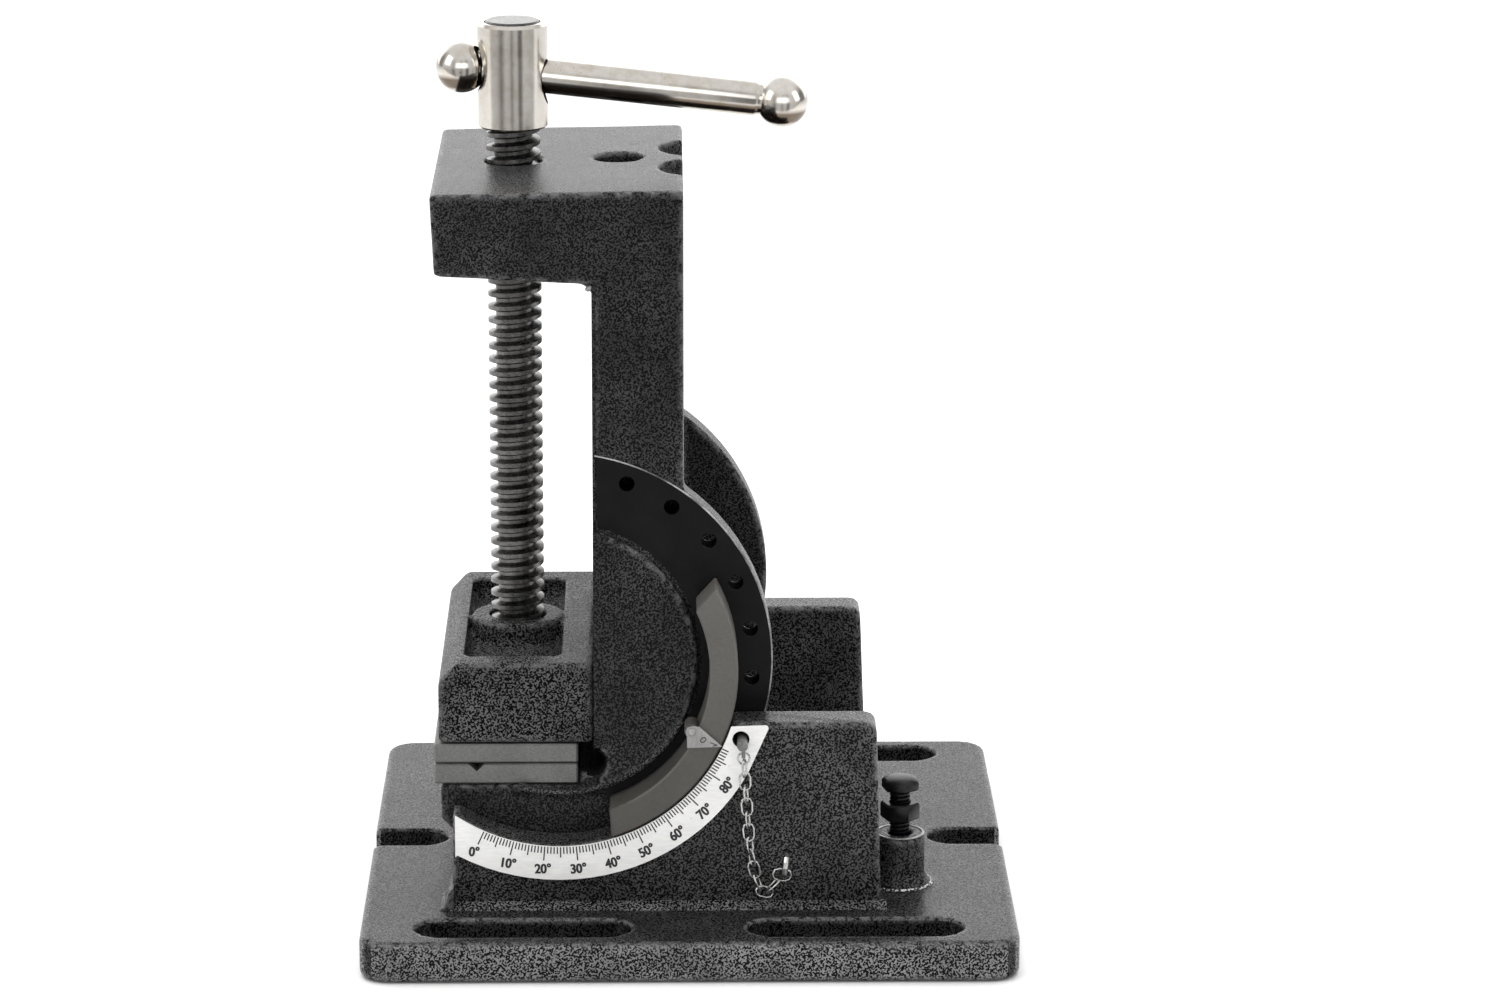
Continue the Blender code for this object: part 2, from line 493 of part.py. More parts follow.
# ---------------------------------------------------------------- index pin, ring, staple, chain
pin_origin = (pin_x, 0, pin_z)
pin = bevel(cylinder("index_pin", (pin_x, PIN_FRONT, pin_z), (pin_x, -43.0, pin_z), PIN_R, parts, pin_origin, 24), 0.3, 1, 60)
eye_x, eye_y, eye_z = pin_x + 0.25, PIN_FRONT + 1.1, pin_z - 2.45
add(pin, box("index_pin_tab", (eye_x - 0.55, eye_x + 0.55), (PIN_FRONT, PIN_FRONT + 2.2), (eye_z - 1.05, pin_z)))
cut(pin, cylinder("index_pin_eye", (eye_x - 3, eye_y, eye_z), (eye_x + 3, eye_y, eye_z), 0.6, segments=16))
material(pin, "zinc")


def wire_loop(name, points, wire, origin, around=8):
    """A closed wire along the points, which are world millimetres."""
    curve = bpy.data.curves.new(name, "CURVE")
    curve.dimensions = "3D"
    curve.bevel_depth = wire
    curve.bevel_resolution = (around - 4) // 2
    curve.use_fill_caps = True
    spline = curve.splines.new("POLY")
    spline.points.add(len(points) - 1)
    for point, co in zip(spline.points, points):
        point.co = (*co, 1)
    spline.use_cyclic_u = True
    holder = bpy.data.objects.new(name + "_path", curve)
    cutters.objects.link(holder)
    graph = bpy.context.evaluated_depsgraph_get()
    graph.update()
    mesh = bpy.data.meshes.new_from_object(holder.evaluated_get(graph))
    bpy.data.objects.remove(holder, do_unlink=True)
    bpy.data.curves.remove(curve)
    bm = bmesh.new()
    bm.from_mesh(mesh)
    bpy.data.meshes.remove(mesh)
    bmesh.ops.remove_doubles(bm, verts=bm.verts, dist=1e-4)
    return from_bm(bm, name, parts, origin)


def oval(centre, direction, side, length, width, steps=7):
    """Points of a long loop: straight sides along direction, round ends."""
    c, d, s = Vector(centre), Vector(direction).normalized(), Vector(side)
    s = (s - d * s.dot(d)).normalized()
    r, reach = width / 2, (length - width) / 2
    points = []
    for sign in (1, -1):
        for i in range(steps + 1):
            t = math.pi * i / steps
            points.append(c + d * sign * (reach + r * math.sin(t)) + s * sign * r * math.cos(t))
    return points


ring_centre = (eye_x + 0.1, eye_y, eye_z - 1.43)
ring = wire_loop("index_pin_ring", oval(ring_centre, (0, 0, -1), (1, 0, 0), 3.5, 3.4, 6), 0.3, pin_origin)
material(ring, "zinc")

# The chain's hanging line, through the links' centres from the pin's ring to the staple. Each
# link is rolled about its own length by its angle in LINK_ROLL, 0 being flat to the front.
ROUTE = [
    (16.0, -71.1, 60.0), (16.1, -71.1, 56.0), (16.5, -71.0, 49.5), (16.95, -70.8, 43.0), (17.5, -70.5, 35.0),
    (18.4, -70.0, 27.6), (19.3, -69.6, 23.6), (20.5, -69.2, 19.8), (22.75, -68.7, 17.1), (24.7, -68.0, 19.4),
    (27.2, -67.5, 22.3), (29.0, -67.0, 24.0),
]
LINK_ROLL = (72, 5, 72, 5, 72, 5, 60, -62, 0, 75, 5, 85, 0)
LINK_LENGTH, LINK_WIDTH, LINK_WIRE = 5.5, 3.1, 0.32


def route_point(t):
    """Catmull-Rom curve through the inner points of ROUTE; t runs from 0 to the last of them."""
    k = min(int(t), len(ROUTE) - 4)
    u = t - k
    p0, p1, p2, p3 = (Vector(ROUTE[k + j]) for j in range(4))
    return 0.5 * (
        2 * p1 + (p2 - p0) * u + (2 * p0 - 5 * p1 + 4 * p2 - p3) * u * u + (3 * p1 - p0 - 3 * p2 + p3) * u ** 3
    )


samples = [route_point((len(ROUTE) - 3) * i / 900) for i in range(901)]
travel = [0.0]
for near, far in zip(samples, samples[1:]):
    travel.append(travel[-1] + (far - near).length)
count = len(LINK_ROLL)
centres = [
    samples[min(range(901), key=lambda n: abs(travel[n] - travel[-1] * i / (count - 1)))] for i in range(count)
]
for i, centre in enumerate(centres):
    direction = centres[min(i + 1, count - 1)] - centres[max(i - 1, 0)]
    if i == count - 1:
        direction = Vector((1, 0, -0.1))
    direction.normalize()
    flat = direction.cross(Vector((0, 1, 0))).normalized()
    roll = math.radians(LINK_ROLL[i])
    side = flat * math.cos(roll) + flat.cross(direction) * math.sin(roll)
    wide = LINK_WIDTH + (0.5 if i == count - 1 else 0)
    link = wire_loop("chain_link_%02d" % (i + 1), oval(centre, direction, side, LINK_LENGTH, wide, 4), LINK_WIRE, ORIGIN["base"])
    material(link, "zinc")

(ux, uz), (lx, lz) = STAPLE_HIGH, STAPLE_LOW
staple_pts = [(ux, -61.5, uz), (ux, -68.9, uz)]
for i in range(1, 6):
    t = math.pi * i / 6
    mix = (1 - math.cos(t)) / 2
    staple_pts.append((ux + (lx - ux) * mix, -68.9 - 1.9 * math.sin(t), uz + (lz - uz) * mix))
staple_pts += [(lx, -68.9, lz), (lx, -61.5, lz)]
curve = bpy.data.curves.new("staple_path", "CURVE")
curve.dimensions = "3D"
curve.bevel_depth = STAPLE_WIRE
curve.bevel_resolution = 2
curve.use_fill_caps = True
spline = curve.splines.new("POLY")
spline.points.add(len(staple_pts) - 1)
for point, co in zip(spline.points, staple_pts):
    point.co = (*co, 1)
holder = bpy.data.objects.new("staple_path", curve)
cutters.objects.link(holder)
graph = bpy.context.evaluated_depsgraph_get()
graph.update()
staple_mesh = bpy.data.meshes.new_from_object(holder.evaluated_get(graph))
bpy.data.objects.remove(holder, do_unlink=True)
bpy.data.curves.remove(curve)
bm = bmesh.new()
bm.from_mesh(staple_mesh)
bpy.data.meshes.remove(staple_mesh)
bmesh.ops.remove_doubles(bm, verts=bm.verts, dist=1e-4)
staple = from_bm(bm, "chain_staple", parts, ORIGIN["base"])
material(staple, "zinc")

# ---------------------------------------------------------------- stop bolt and jam nut
stop_origin = ORIGIN["stop"]
stop = cylinder("stop_bolt", (STOP_X, STOP_Y, 13.5), (STOP_X, STOP_Y, 42), 2.9, parts, stop_origin, 24)
head = bevel(cylinder("stop_bolt_head", (STOP_X, STOP_Y, 40.9), (STOP_X, STOP_Y, 44.8), 5.8, segments=6, turn=math.radians(12)), 0.5, 1, 60)
add(stop, head)
material(stop, "black_oxide")
nut = bevel(
    cylinder("stop_nut", (STOP_X, STOP_Y, 31.9), (STOP_X, STOP_Y, 37.0), 5.9, parts, stop_origin, 6, math.radians(20)), 0.5, 1, 60
)
cut(nut, cylinder("stop_nut_bore", (STOP_X, STOP_Y, 30), (STOP_X, STOP_Y, 40), 3.3, segments=24))
material(nut, "black_oxide")

# ---------------------------------------------------------------- rear lock bolt
lock_origin = (lock_x, 0, lock_z)
lock = cylinder("rear_lock_bolt", (lock_x, 53.2, lock_z), (lock_x, 69, lock_z), 4.0, parts, lock_origin, 24)
add(
    lock,
    cylinder("rear_lock_dog", (lock_x, 48.6, lock_z), (lock_x, 54, lock_z), 2.9, segments=24),
    bevel(cylinder("rear_lock_head", (lock_x, 67.2, lock_z), (lock_x, 72.6, lock_z), 7.5, segments=6), 0.6, 1, 60),
)
material(lock, "black_oxide")

for obj in list(parts.objects):
    obj.data.shade_smooth()
    obj.data.set_sharp_from_angle(angle=math.radians(35))

for obj in bpy.data.objects:
    for mod in obj.modifiers:
        mod.show_render = mod.show_viewport
bpy.context.view_layer.update()
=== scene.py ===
import math

import bmesh
import bpy
from mathutils import Matrix, Vector


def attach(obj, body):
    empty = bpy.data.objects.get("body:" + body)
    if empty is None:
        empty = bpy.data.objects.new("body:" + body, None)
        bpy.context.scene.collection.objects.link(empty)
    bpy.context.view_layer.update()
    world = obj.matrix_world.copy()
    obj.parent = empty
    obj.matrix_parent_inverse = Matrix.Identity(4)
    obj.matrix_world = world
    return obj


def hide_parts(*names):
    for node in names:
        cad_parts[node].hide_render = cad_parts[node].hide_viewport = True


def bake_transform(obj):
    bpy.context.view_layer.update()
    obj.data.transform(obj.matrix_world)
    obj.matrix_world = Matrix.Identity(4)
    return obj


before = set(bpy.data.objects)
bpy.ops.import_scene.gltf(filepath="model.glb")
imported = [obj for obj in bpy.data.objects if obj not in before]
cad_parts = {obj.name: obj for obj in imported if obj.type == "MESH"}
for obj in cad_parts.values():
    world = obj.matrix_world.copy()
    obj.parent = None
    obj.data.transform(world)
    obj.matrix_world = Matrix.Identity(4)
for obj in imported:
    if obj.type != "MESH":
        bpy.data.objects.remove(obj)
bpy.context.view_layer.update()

MM = 0.001
rad = math.radians
TILT = (-37.8, 83.4)
SCREW_X = -51.1
STOP = (62.6, -43.6)
root = bpy.context.scene.collection


# ------------------------------------------------------------------ node helpers
class Nodes:
    """A small builder for a material's node tree."""

    def __init__(self, name):
        self.mat = bpy.data.materials.new(name)
        self.mat.use_nodes = True
        self.tree = self.mat.node_tree
        self.tree.nodes.clear()
        self.out = self.add("ShaderNodeOutputMaterial")
        self.shader = self.add("ShaderNodeBsdfPrincipled")
        self.link(self.shader.outputs["BSDF"], self.out.inputs["Surface"])

    def add(self, kind, **settings):
        node = self.tree.nodes.new(kind)
        for key, value in settings.items():
            setattr(node, key, value)
        return node

    def link(self, a, b):
        self.tree.links.new(a, b)

    def put(self, node, **values):
        for key, value in values.items():
            node.inputs[key.replace("_", " ")].default_value = value
        return node

    def coords(self, scale=(1, 1, 1), turn=(0, 0, 0)):
        at = self.add("ShaderNodeTexCoord")
        spread = self.add("ShaderNodeMapping")
        spread.inputs["Scale"].default_value = scale
        spread.inputs["Rotation"].default_value = turn
        self.link(at.outputs["Object"], spread.inputs["Vector"])
        return spread.outputs["Vector"]

    def noise(self, where, scale, detail=2.0, rough=0.5, distortion=0.0):
        node = self.add("ShaderNodeTexNoise")
        self.put(node, Scale=scale, Detail=detail, Roughness=rough, Distortion=distortion)
        self.link(where, node.inputs["Vector"])
        return node.outputs["Fac"]

    def cells(self, where, scale, feature="F1", randomness=1.0):
        node = self.add("ShaderNodeTexVoronoi", feature=feature)
        self.put(node, Scale=scale, Randomness=randomness)
        self.link(where, node.inputs["Vector"])
        return node.outputs["Distance"]

    def ramp(self, fac, stops, interpolation="LINEAR"):
        node = self.add("ShaderNodeValToRGB")
        node.color_ramp.interpolation = interpolation
        elements = node.color_ramp.elements
        while len(elements) < len(stops):
            elements.new(0.5)
        for element, (at, colour) in zip(elements, stops):
            element.position = at
            element.color = (*colour, 1) if isinstance(colour, tuple) else (colour, colour, colour, 1)
        self.link(fac, node.inputs["Fac"])
        return node.outputs["Color"]

    def math(self, kind, a, b=None, clamp=False):
        node = self.add("ShaderNodeMath", operation=kind, use_clamp=clamp)
        for socket, value in zip(node.inputs, (a, b)):
            if value is None:
                continue
            if isinstance(value, (int, float)):
                socket.default_value = value
            else:
                self.link(value, socket)
        return node.outputs["Value"]

    def mix(self, fac, a, b, kind="MIX"):
        node = self.add("ShaderNodeMix", data_type="RGBA", blend_type=kind)
        for socket, value in ((node.inputs[0], fac), (node.inputs[6], a), (node.inputs[7], b)):
            if isinstance(value, (int, float)):
                socket.default_value = value
            elif isinstance(value, tuple):
                socket.default_value = (*value, 1)
            else:
                self.link(value, socket)
        return node.outputs[2]

    def bump(self, height, distance, strength=1.0, normal=None):
        node = self.add("ShaderNodeBump")
        node.inputs["Strength"].default_value = strength
        node.inputs["Distance"].default_value = distance
        self.link(height, node.inputs["Height"])
        if normal is not None:
            self.link(normal, node.inputs["Normal"])
        return node.outputs["Normal"]

    def done(self, colour=None, rough=None, normal=None, **fixed):
        for socket, value in (("Base Color", colour), ("Roughness", rough), ("Normal", normal)):
            if value is None:
                continue
            if isinstance(value, (int, float)):
                self.shader.inputs[socket].default_value = value
            elif isinstance(value, tuple):
                self.shader.inputs[socket].default_value = (*value, 1)
            else:
                self.link(value, self.shader.inputs[socket])
        for key, value in fixed.items():
            self.shader.inputs[key.replace("_", " ")].default_value = value
        return self.mat


def hammertone(name, veins, painted_light_by_height=(), mark_strength=0.7, gloss=1.26, slot_shade=False, ground=0.0035, edge_stops=((0.475, 0.0), (0.505, 0.4), (0.53, 1.0)), size=1900):
    """Dark stoved paint: worm-like lighter veins about a millimetre apart over near-black. The third argument is
    (height in mm, gain) stops for the veins, which paint light and shade by height.
    """
    n = Nodes(name)
    at = n.coords()
    aslant = n.coords(turn=(0.6, 0.45, 0.8))
    worms = n.noise(aslant, size, 0.0, 0.5, 0.3)
    fine = n.noise(aslant, 3300, 1.5, 0.5)
    broad = n.noise(at, 14, 3, 0.55)
    patch = n.noise(at, 60, 2, 0.5)
    vein = n.ramp(worms, list(edge_stops))
    low, high = veins
    light = n.ramp(patch, [(0.35, (low, low, low * 1.01)), (0.65, (high, high, high * 1.01))])
    # painted light and shade by height: the veins are made lighter or darker by the height stops
    if painted_light_by_height:
        place = n.add("ShaderNodeSeparateXYZ")
        n.link(at, place.inputs["Vector"])
        gain = n.ramp(n.math("MULTIPLY", place.outputs["Z"], 10.0), [(z / 100.0, g / 4.0) for z, g in painted_light_by_height])
        light = n.mix(1.0, light, n.mix(1.0, gain, (4.0, 4.0, 4.0), "MULTIPLY"), "MULTIPLY")
    colour = n.mix(vein, (ground, ground, ground * 1.04), light)
    colour = n.mix(1.0, colour, n.ramp(broad, [(0.3, 0.8), (0.7, 1.15)]), "MULTIPLY")
    # painted shade: inside the base plate's slot openings, below its top, the colour is darkened to a tenth
    if slot_shade:
        spot = n.add("ShaderNodeSeparateXYZ")
        n.link(at, spot.inputs["Vector"])
        out_x = n.math("GREATER_THAN", n.math("ABSOLUTE", spot.outputs["X"], 0.0), 0.0940)
        out_y = n.math("GREATER_THAN", n.math("ABSOLUTE", spot.outputs["Y"], 0.0), 0.0970)
        top = n.math("GREATER_THAN", spot.outputs["Z"], 0.0112)
        outside = n.math("MINIMUM", n.math("ADD", n.math("ADD", out_x, out_y), top), 1.0)
        colour = n.mix(1.0, colour, n.mix(outside, (0.10, 0.10, 0.10), (1.0, 1.0, 1.0)), "MULTIPLY")
    # lighter marks along sharp edges: partly paint rubbed through, partly a painted highlight where edges catch the
    # light, broken up by noise
    shape = n.add("ShaderNodeNewGeometry")
    edge = n.ramp(shape.outputs["Pointiness"], [(0.505, 0.0), (0.53, 1.0)])
    edge_breakup = n.ramp(n.noise(at, 420, 3, 0.6), [(0.40, 0.0), (0.58, 1.0)])
    rubbed_highlight = n.math("MULTIPLY", edge, edge_breakup)
    colour = n.mix(n.math("MULTIPLY", rubbed_highlight, mark_strength), colour, (0.15, 0.15, 0.148))
    rough = n.ramp(worms, [(0.42, 0.25), (0.6, 0.35)])
    normal = n.bump(fine, 0.00006, 0.4)
    normal = n.bump(vein, 0.0004, 0.85, normal)
    n.link(n.ramp(worms, [(0.45, 0.2), (0.55, 0.8)]), n.shader.inputs["Specular IOR Level"])
    return n.done(colour, rough, normal, Metallic=0.0, IOR=gloss)


def bore_black():
    """The inside of a drilled hole: matt black oil and shade."""
    n = Nodes("bore_black")
    at = n.coords()
    grain = n.noise(at, 900, 2, 0.6)
    c = n.ramp(grain, [(0.3, (0.0012, 0.0012, 0.0013)), (0.7, (0.003, 0.003, 0.003))])
    r = n.ramp(grain, [(0.3, 0.8), (0.7, 0.95)])
    return n.done(c, r, n.bump(grain, 0.00003, 0.3), Metallic=0.0, IOR=1.05)


def grey_pin():
    """The index pin: dull grey turned steel."""
    n = Nodes("pin_steel")
    at = n.coords()
    grain = n.noise(n.coords((1, 0.2, 1)), 1600, 3, 0.6)
    broad = n.noise(at, 500, 3, 0.6)
    c = n.ramp(broad, [(0.3, (0.09, 0.09, 0.088)), (0.7, (0.22, 0.22, 0.215))])
    c = n.mix(1.0, c, n.ramp(grain, [(0.3, 0.8), (0.7, 1.15)]), "MULTIPLY")
    r = n.ramp(grain, [(0.3, 0.32), (0.7, 0.48)])
    return n.done(c, r, n.bump(grain, 0.00003, 0.4), Metallic=0.6)


def satin_painted_shade():
    """The flanges' turned faces: smooth satin iron with faint turning marks round the tilt axis; its near-black colour
    is painted shade, the flange lying dark in shadow.
    """
    n = Nodes("turned_painted_shade")
    at = n.coords()
    place = n.add("ShaderNodeSeparateXYZ")
    n.link(at, place.inputs["Vector"])
    dx = n.math("ADD", place.outputs["X"], 0.0378)
    dz = n.math("SUBTRACT", place.outputs["Z"], 0.0834)
    reach = n.math("SQRT", n.math("ADD", n.math("MULTIPLY", dx, dx), n.math("MULTIPLY", dz, dz)))
    join = n.add("ShaderNodeCombineXYZ")
    n.link(n.math("MULTIPLY", reach, 4200.0), join.inputs["X"])
    rings = n.noise(join.outputs["Vector"], 1.0, 3, 0.6)
    broad = n.noise(at, 60, 3, 0.6)
    c = n.ramp(broad, [(0.3, (0.0035, 0.0035, 0.0037)), (0.7, (0.0075, 0.0075, 0.0078))])
    c = n.mix(1.0, c, n.ramp(rings, [(0.3, 0.8), (0.7, 1.3)]), "MULTIPLY")
    r = n.ramp(rings, [(0.3, 0.34), (0.7, 0.46)])
    return n.done(c, r, n.bump(rings, 0.00002, 0.3), Metallic=0.0, IOR=1.2)


def machined(name, colour, rough, grain=(1, 1, 1), metallic=1.0, streak=1900, mark_strength=0.12):
    """Ground or milled metal: long fine marks along the low-scale axis, and faint broad staining."""
    n = Nodes(name)
    marks = n.noise(n.coords(grain), streak, 3, 0.6)
    at = n.coords()
    broad = n.noise(at, 60, 4, 0.6)
    c = n.ramp(marks, [(0.25, tuple(v * (1 - mark_strength) for v in colour)), (0.75, tuple(min(1, v * (1 + mark_strength)) for v in colour))])
    c = n.mix(1.0, c, n.ramp(broad, [(0.3, 0.86), (0.7, 1.08)]), "MULTIPLY")
    r = n.ramp(marks, [(0.3, rough * 0.85), (0.7, min(1, rough * 1.2))])
    return n.done(c, r, n.bump(marks, 0.00004, 0.5), Metallic=metallic)


def nickel():
    n = Nodes("nickel_plate")
    at = n.coords()
    broad = n.noise(at, 75, 4, 0.6)
    turned = n.noise(n.coords((0.04, 0.04, 1)), 4200, 2, 0.6)
    pits = n.noise(at, 1250, 2, 0.5)
    stain = n.noise(at, 210, 3, 0.6)
    c = n.ramp(broad, [(0.3, (0.58, 0.545, 0.50)), (0.7, (0.72, 0.69, 0.645))])
    c = n.mix(1.0, c, n.ramp(pits, [(0.24, 0.45), (0.31, 1.0)]), "MULTIPLY")
    c = n.mix(1.0, c, n.ramp(stain, [(0.3, (0.90, 0.87, 0.82)), (0.55, (1.0, 1.0, 1.0))]), "MULTIPLY")
    # painted shade and reflection by facing: faces turned down are darkened to brown, and those facing straight down
    # kept lighter as a bright rim
    facing = n.add("ShaderNodeSeparateXYZ")
    n.link(n.add("ShaderNodeTexCoord").outputs["Normal"], facing.inputs["Vector"])
    down = n.math("ADD", n.math("MULTIPLY", facing.outputs["Z"], 0.5), 0.5)
    painted_shade_by_facing = n.ramp(down, [(0.0, (0.8, 0.8, 0.8)), (0.10, (0.70, 0.68, 0.66)), (0.15, (0.24, 0.20, 0.17)), (0.32, (0.26, 0.22, 0.19)), (0.41, (1.0, 1.0, 1.0))])
    c = n.mix(1.0, c, painted_shade_by_facing, "MULTIPLY")
    r = n.ramp(broad, [(0.3, 0.12), (0.7, 0.21)])
    normal = n.bump(stain, 0.00006, 0.25)
    return n.done(c, r, n.bump(turned, 0.00001, 0.3, normal), Metallic=1.0)


def screw_metal():
    n = Nodes("oiled_screw_steel")
    at = n.coords()
    broad = n.noise(at, 120, 4, 0.6)
    fine = n.noise(n.coords((1, 1, 4)), 900, 3, 0.6)
    c = n.ramp(broad, [(0.3, (0.085, 0.082, 0.080)), (0.7, (0.21, 0.205, 0.20))])
    c = n.mix(1.0, c, n.ramp(fine, [(0.3, 0.6), (0.7, 1.25)]), "MULTIPLY")
    r = n.ramp(fine, [(0.3, 0.22), (0.7, 0.40)])
    return n.done(c, r, n.bump(fine, 0.00005, 0.4), Metallic=1.0)


def black_oxide():
    n = Nodes("black_oxide")
    at = n.coords()
    grain = n.noise(at, 1300, 3, 0.6)
    broad = n.noise(at, 260, 3, 0.6)
    c = n.ramp(grain, [(0.3, (0.003, 0.003, 0.0032)), (0.7, (0.010, 0.010, 0.0104))])
    c = n.mix(1.0, c, n.ramp(broad, [(0.35, 0.7), (0.65, 1.5)]), "MULTIPLY")
    r = n.ramp(grain, [(0.3, 0.26), (0.7, 0.42)])
    return n.done(c, r, n.bump(grain, 0.00005, 0.5), Metallic=0.0, IOR=1.3)


def rubbed_highlight_edge():
    """A painted highlight along edges that catch the light, drawn as rubbed bare iron: bright in places, dull between.
    """
    n = Nodes("rubbed_highlight_edge")
    at = n.coords()
    broad = n.noise(at, 90, 3, 0.6)
    fine = n.noise(at, 900, 3, 0.6)
    c = n.ramp(broad, [(0.35, (0.10, 0.10, 0.10)), (0.6, (0.42, 0.42, 0.41))])
    c = n.mix(1.0, c, n.ramp(fine, [(0.3, 0.6), (0.6, 1.15)]), "MULTIPLY")
    r = n.ramp(fine, [(0.3, 0.32), (0.7, 0.5)])
    return n.done(c, r, n.bump(fine, 0.00003, 0.4), Metallic=0.7)


def printed_steel():
    """The pointer: dull light grey steel."""
    n = Nodes("pointer_steel")
    at = n.coords()
    broad = n.noise(at, 220, 3, 0.6)
    fine = n.noise(n.coords((1, 1, 0.2)), 1500, 2, 0.6)
    c = n.ramp(broad, [(0.3, (0.25, 0.245, 0.24)), (0.7, (0.34, 0.335, 0.325))])
    c = n.mix(1.0, c, n.ramp(fine, [(0.3, 0.88), (0.7, 1.08)]), "MULTIPLY")
    r = n.ramp(fine, [(0.3, 0.42), (0.7, 0.55)])
    return n.done(c, r, n.bump(fine, 0.00002, 0.3), Metallic=0.15)


def zinc():
    n = Nodes("bright_zinc")
    at = n.coords()
    broad = n.noise(at, 500, 3, 0.6)
    c = n.ramp(broad, [(0.3, (0.34, 0.34, 0.33)), (0.7, (0.64, 0.64, 0.63))])
    r = n.ramp(broad, [(0.3, 0.18), (0.7, 0.34)])
    return n.done(c, r, n.bump(broad, 0.00003, 0.3), Metallic=1.0)


def dial_paint():
    n = Nodes("dial_paint")
    at = n.coords()
    broad = n.noise(at, 45, 4, 0.6)
    brush = n.noise(n.coords((0.15, 1, 1)), 1500, 2, 0.6)
    specks = n.noise(at, 900, 2, 0.5)
    c = n.ramp(broad, [(0.25, (0.73, 0.725, 0.705)), (0.75, (0.90, 0.895, 0.88))])
    c = n.mix(1.0, c, n.ramp(brush, [(0.3, 0.93), (0.7, 1.03)]), "MULTIPLY")
    c = n.mix(1.0, c, n.ramp(specks, [(0.22, 0.6), (0.30, 1.0)]), "MULTIPLY")
    r = n.ramp(brush, [(0.3, 0.36), (0.7, 0.48)])
    return n.done(c, r, n.bump(brush, 0.00002, 0.25), Metallic=0.1)


def print_black():
    n = Nodes("dial_print")
    at = n.coords()
    grain = n.noise(at, 2500, 2, 0.5)
    c = n.ramp(grain, [(0.3, (0.008, 0.008, 0.009)), (0.7, (0.02, 0.02, 0.021))])
    r = n.ramp(grain, [(0.3, 0.4), (0.7, 0.55)])
    return n.done(c, r, n.bump(grain, 0.00001, 0.3))


def arc_metal():
    """The swivel arcs' ground band: brown-grey, dull, marks along the arc, and painted light by height: lighter towards
    the top.
    """
    n = Nodes("arc_band")
    at = n.coords()
    broad = n.noise(at, 40, 3, 0.6)
    fine = n.noise(n.coords((1, 0.2, 1)), 1400, 3, 0.6)
    height = n.add("ShaderNodeSeparateXYZ")
    n.link(at, height.inputs["Vector"])
    # painted light: lighter towards the top, darker lower down
    painted_toplight = n.ramp(n.math("MULTIPLY", height.outputs["Z"], 8.0), [(0.25, 0.80), (0.85, 1.35)])
    c = n.ramp(broad, [(0.3, (0.064, 0.062, 0.057)), (0.5, (0.078, 0.073, 0.066)), (0.7, (0.084, 0.080, 0.075))])
    c = n.mix(1.0, c, n.ramp(fine, [(0.3, 0.9), (0.7, 1.1)]), "MULTIPLY")
    c = n.mix(1.0, c, painted_toplight, "MULTIPLY")
    r = n.ramp(fine, [(0.3, 0.42), (0.7, 0.55)])
    return n.done(c, r, n.bump(fine, 0.00003, 0.3), Metallic=0.25)


def floor_paint():
    n = Nodes("studio_floor")
    at = n.coords()
    c = n.ramp(n.noise(at, 3, 2, 0.5), [(0.3, 0.77), (0.7, 0.79)])
    r = n.ramp(n.noise(at, 40, 2, 0.5), [(0.3, 0.78), (0.7, 0.84)])
    return n.done(c, r)


M = {
    # base paint: painted light and shade by height, lighter on the plate's edges below 11 mm, darker on its top and low
    # on the cheeks up to about 14.6 mm; and painted shade in the slot openings
    "paint": hammertone("hammertone_base", (0.050, 0.085), [(0, 2.7), (11.0, 2.7), (11.7, 0.55), (14.0, 0.7), (14.6, 0.9), (70, 1.0)], slot_shade=True),
    "vise_paint": hammertone("hammertone_vise", (0.026, 0.050), ground=0.0065, edge_stops=((0.45, 0.0), (0.555, 1.0)), size=2000),
    "jaw_paint": hammertone("hammertone_jaw", (0.075, 0.125), gloss=1.12),
    # lighter paint: a painted highlight on the disc ridges
    "ridge_highlight_paint": hammertone("hammertone_ridge_highlight", (0.055, 0.090), (), 0.0, ground=0.012, edge_stops=((0.45, 0.0), (0.555, 1.0)), size=2000),
    "glint": hammertone("hammertone_glint", (0.35, 0.60), (), 0.0, 1.4, ground=0.03, edge_stops=((0.50, 0.0), (0.56, 1.0)), size=1300),
    # lighter paint: painted light on the fillets at the cheeks' foot, where they face up
    "foot_lit_paint": hammertone("hammertone_foot_lit", (0.10, 0.16), (), 0.0),
    "plain_paint": hammertone("hammertone_plain", (0.026, 0.050), (), 0.0, ground=0.0065, edge_stops=((0.45, 0.0), (0.555, 1.0)), size=2000),
    # very dark paint: painted shade in the relief groove at the bed's inner corner
    "recess_shade": hammertone("hammertone_recess", (0.009, 0.016), (), 0.0, 1.02, ground=0.005),
    "bore": bore_black(),
    "pin": grey_pin(),
    "smooth": satin_painted_shade(),
    "jaw": machined("ground_steel", (0.145, 0.145, 0.142), 0.48, (0.55, 1, 1), 0.5, 2100, 0.34),
    "ways": machined("milled_ways", (0.40, 0.40, 0.39), 0.36, (1, 1, 0.05), 0.9, 1500, 0.16),
    "arc": arc_metal(),
    "screw": screw_metal(),
    "nickel": nickel(),
    "black": black_oxide(),
    "rubbed_highlight": rubbed_highlight_edge(),
    "pointer": printed_steel(),
    "zinc": zinc(),
    "dial": dial_paint(),
    "print": print_black(),
    "floor": floor_paint(),
}


# ------------------------------------------------------------------ mesh helpers (millimetres)
def finish_piece(obj, key, body, replaced=(), smooth=35):
    obj.data.materials.clear()
    obj.data.materials.append(M[key])
    if smooth:
        obj.data.shade_smooth()
        obj.data.set_sharp_from_angle(angle=rad(smooth))
    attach(obj, body)
    if replaced:
        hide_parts(*replaced)
    return obj


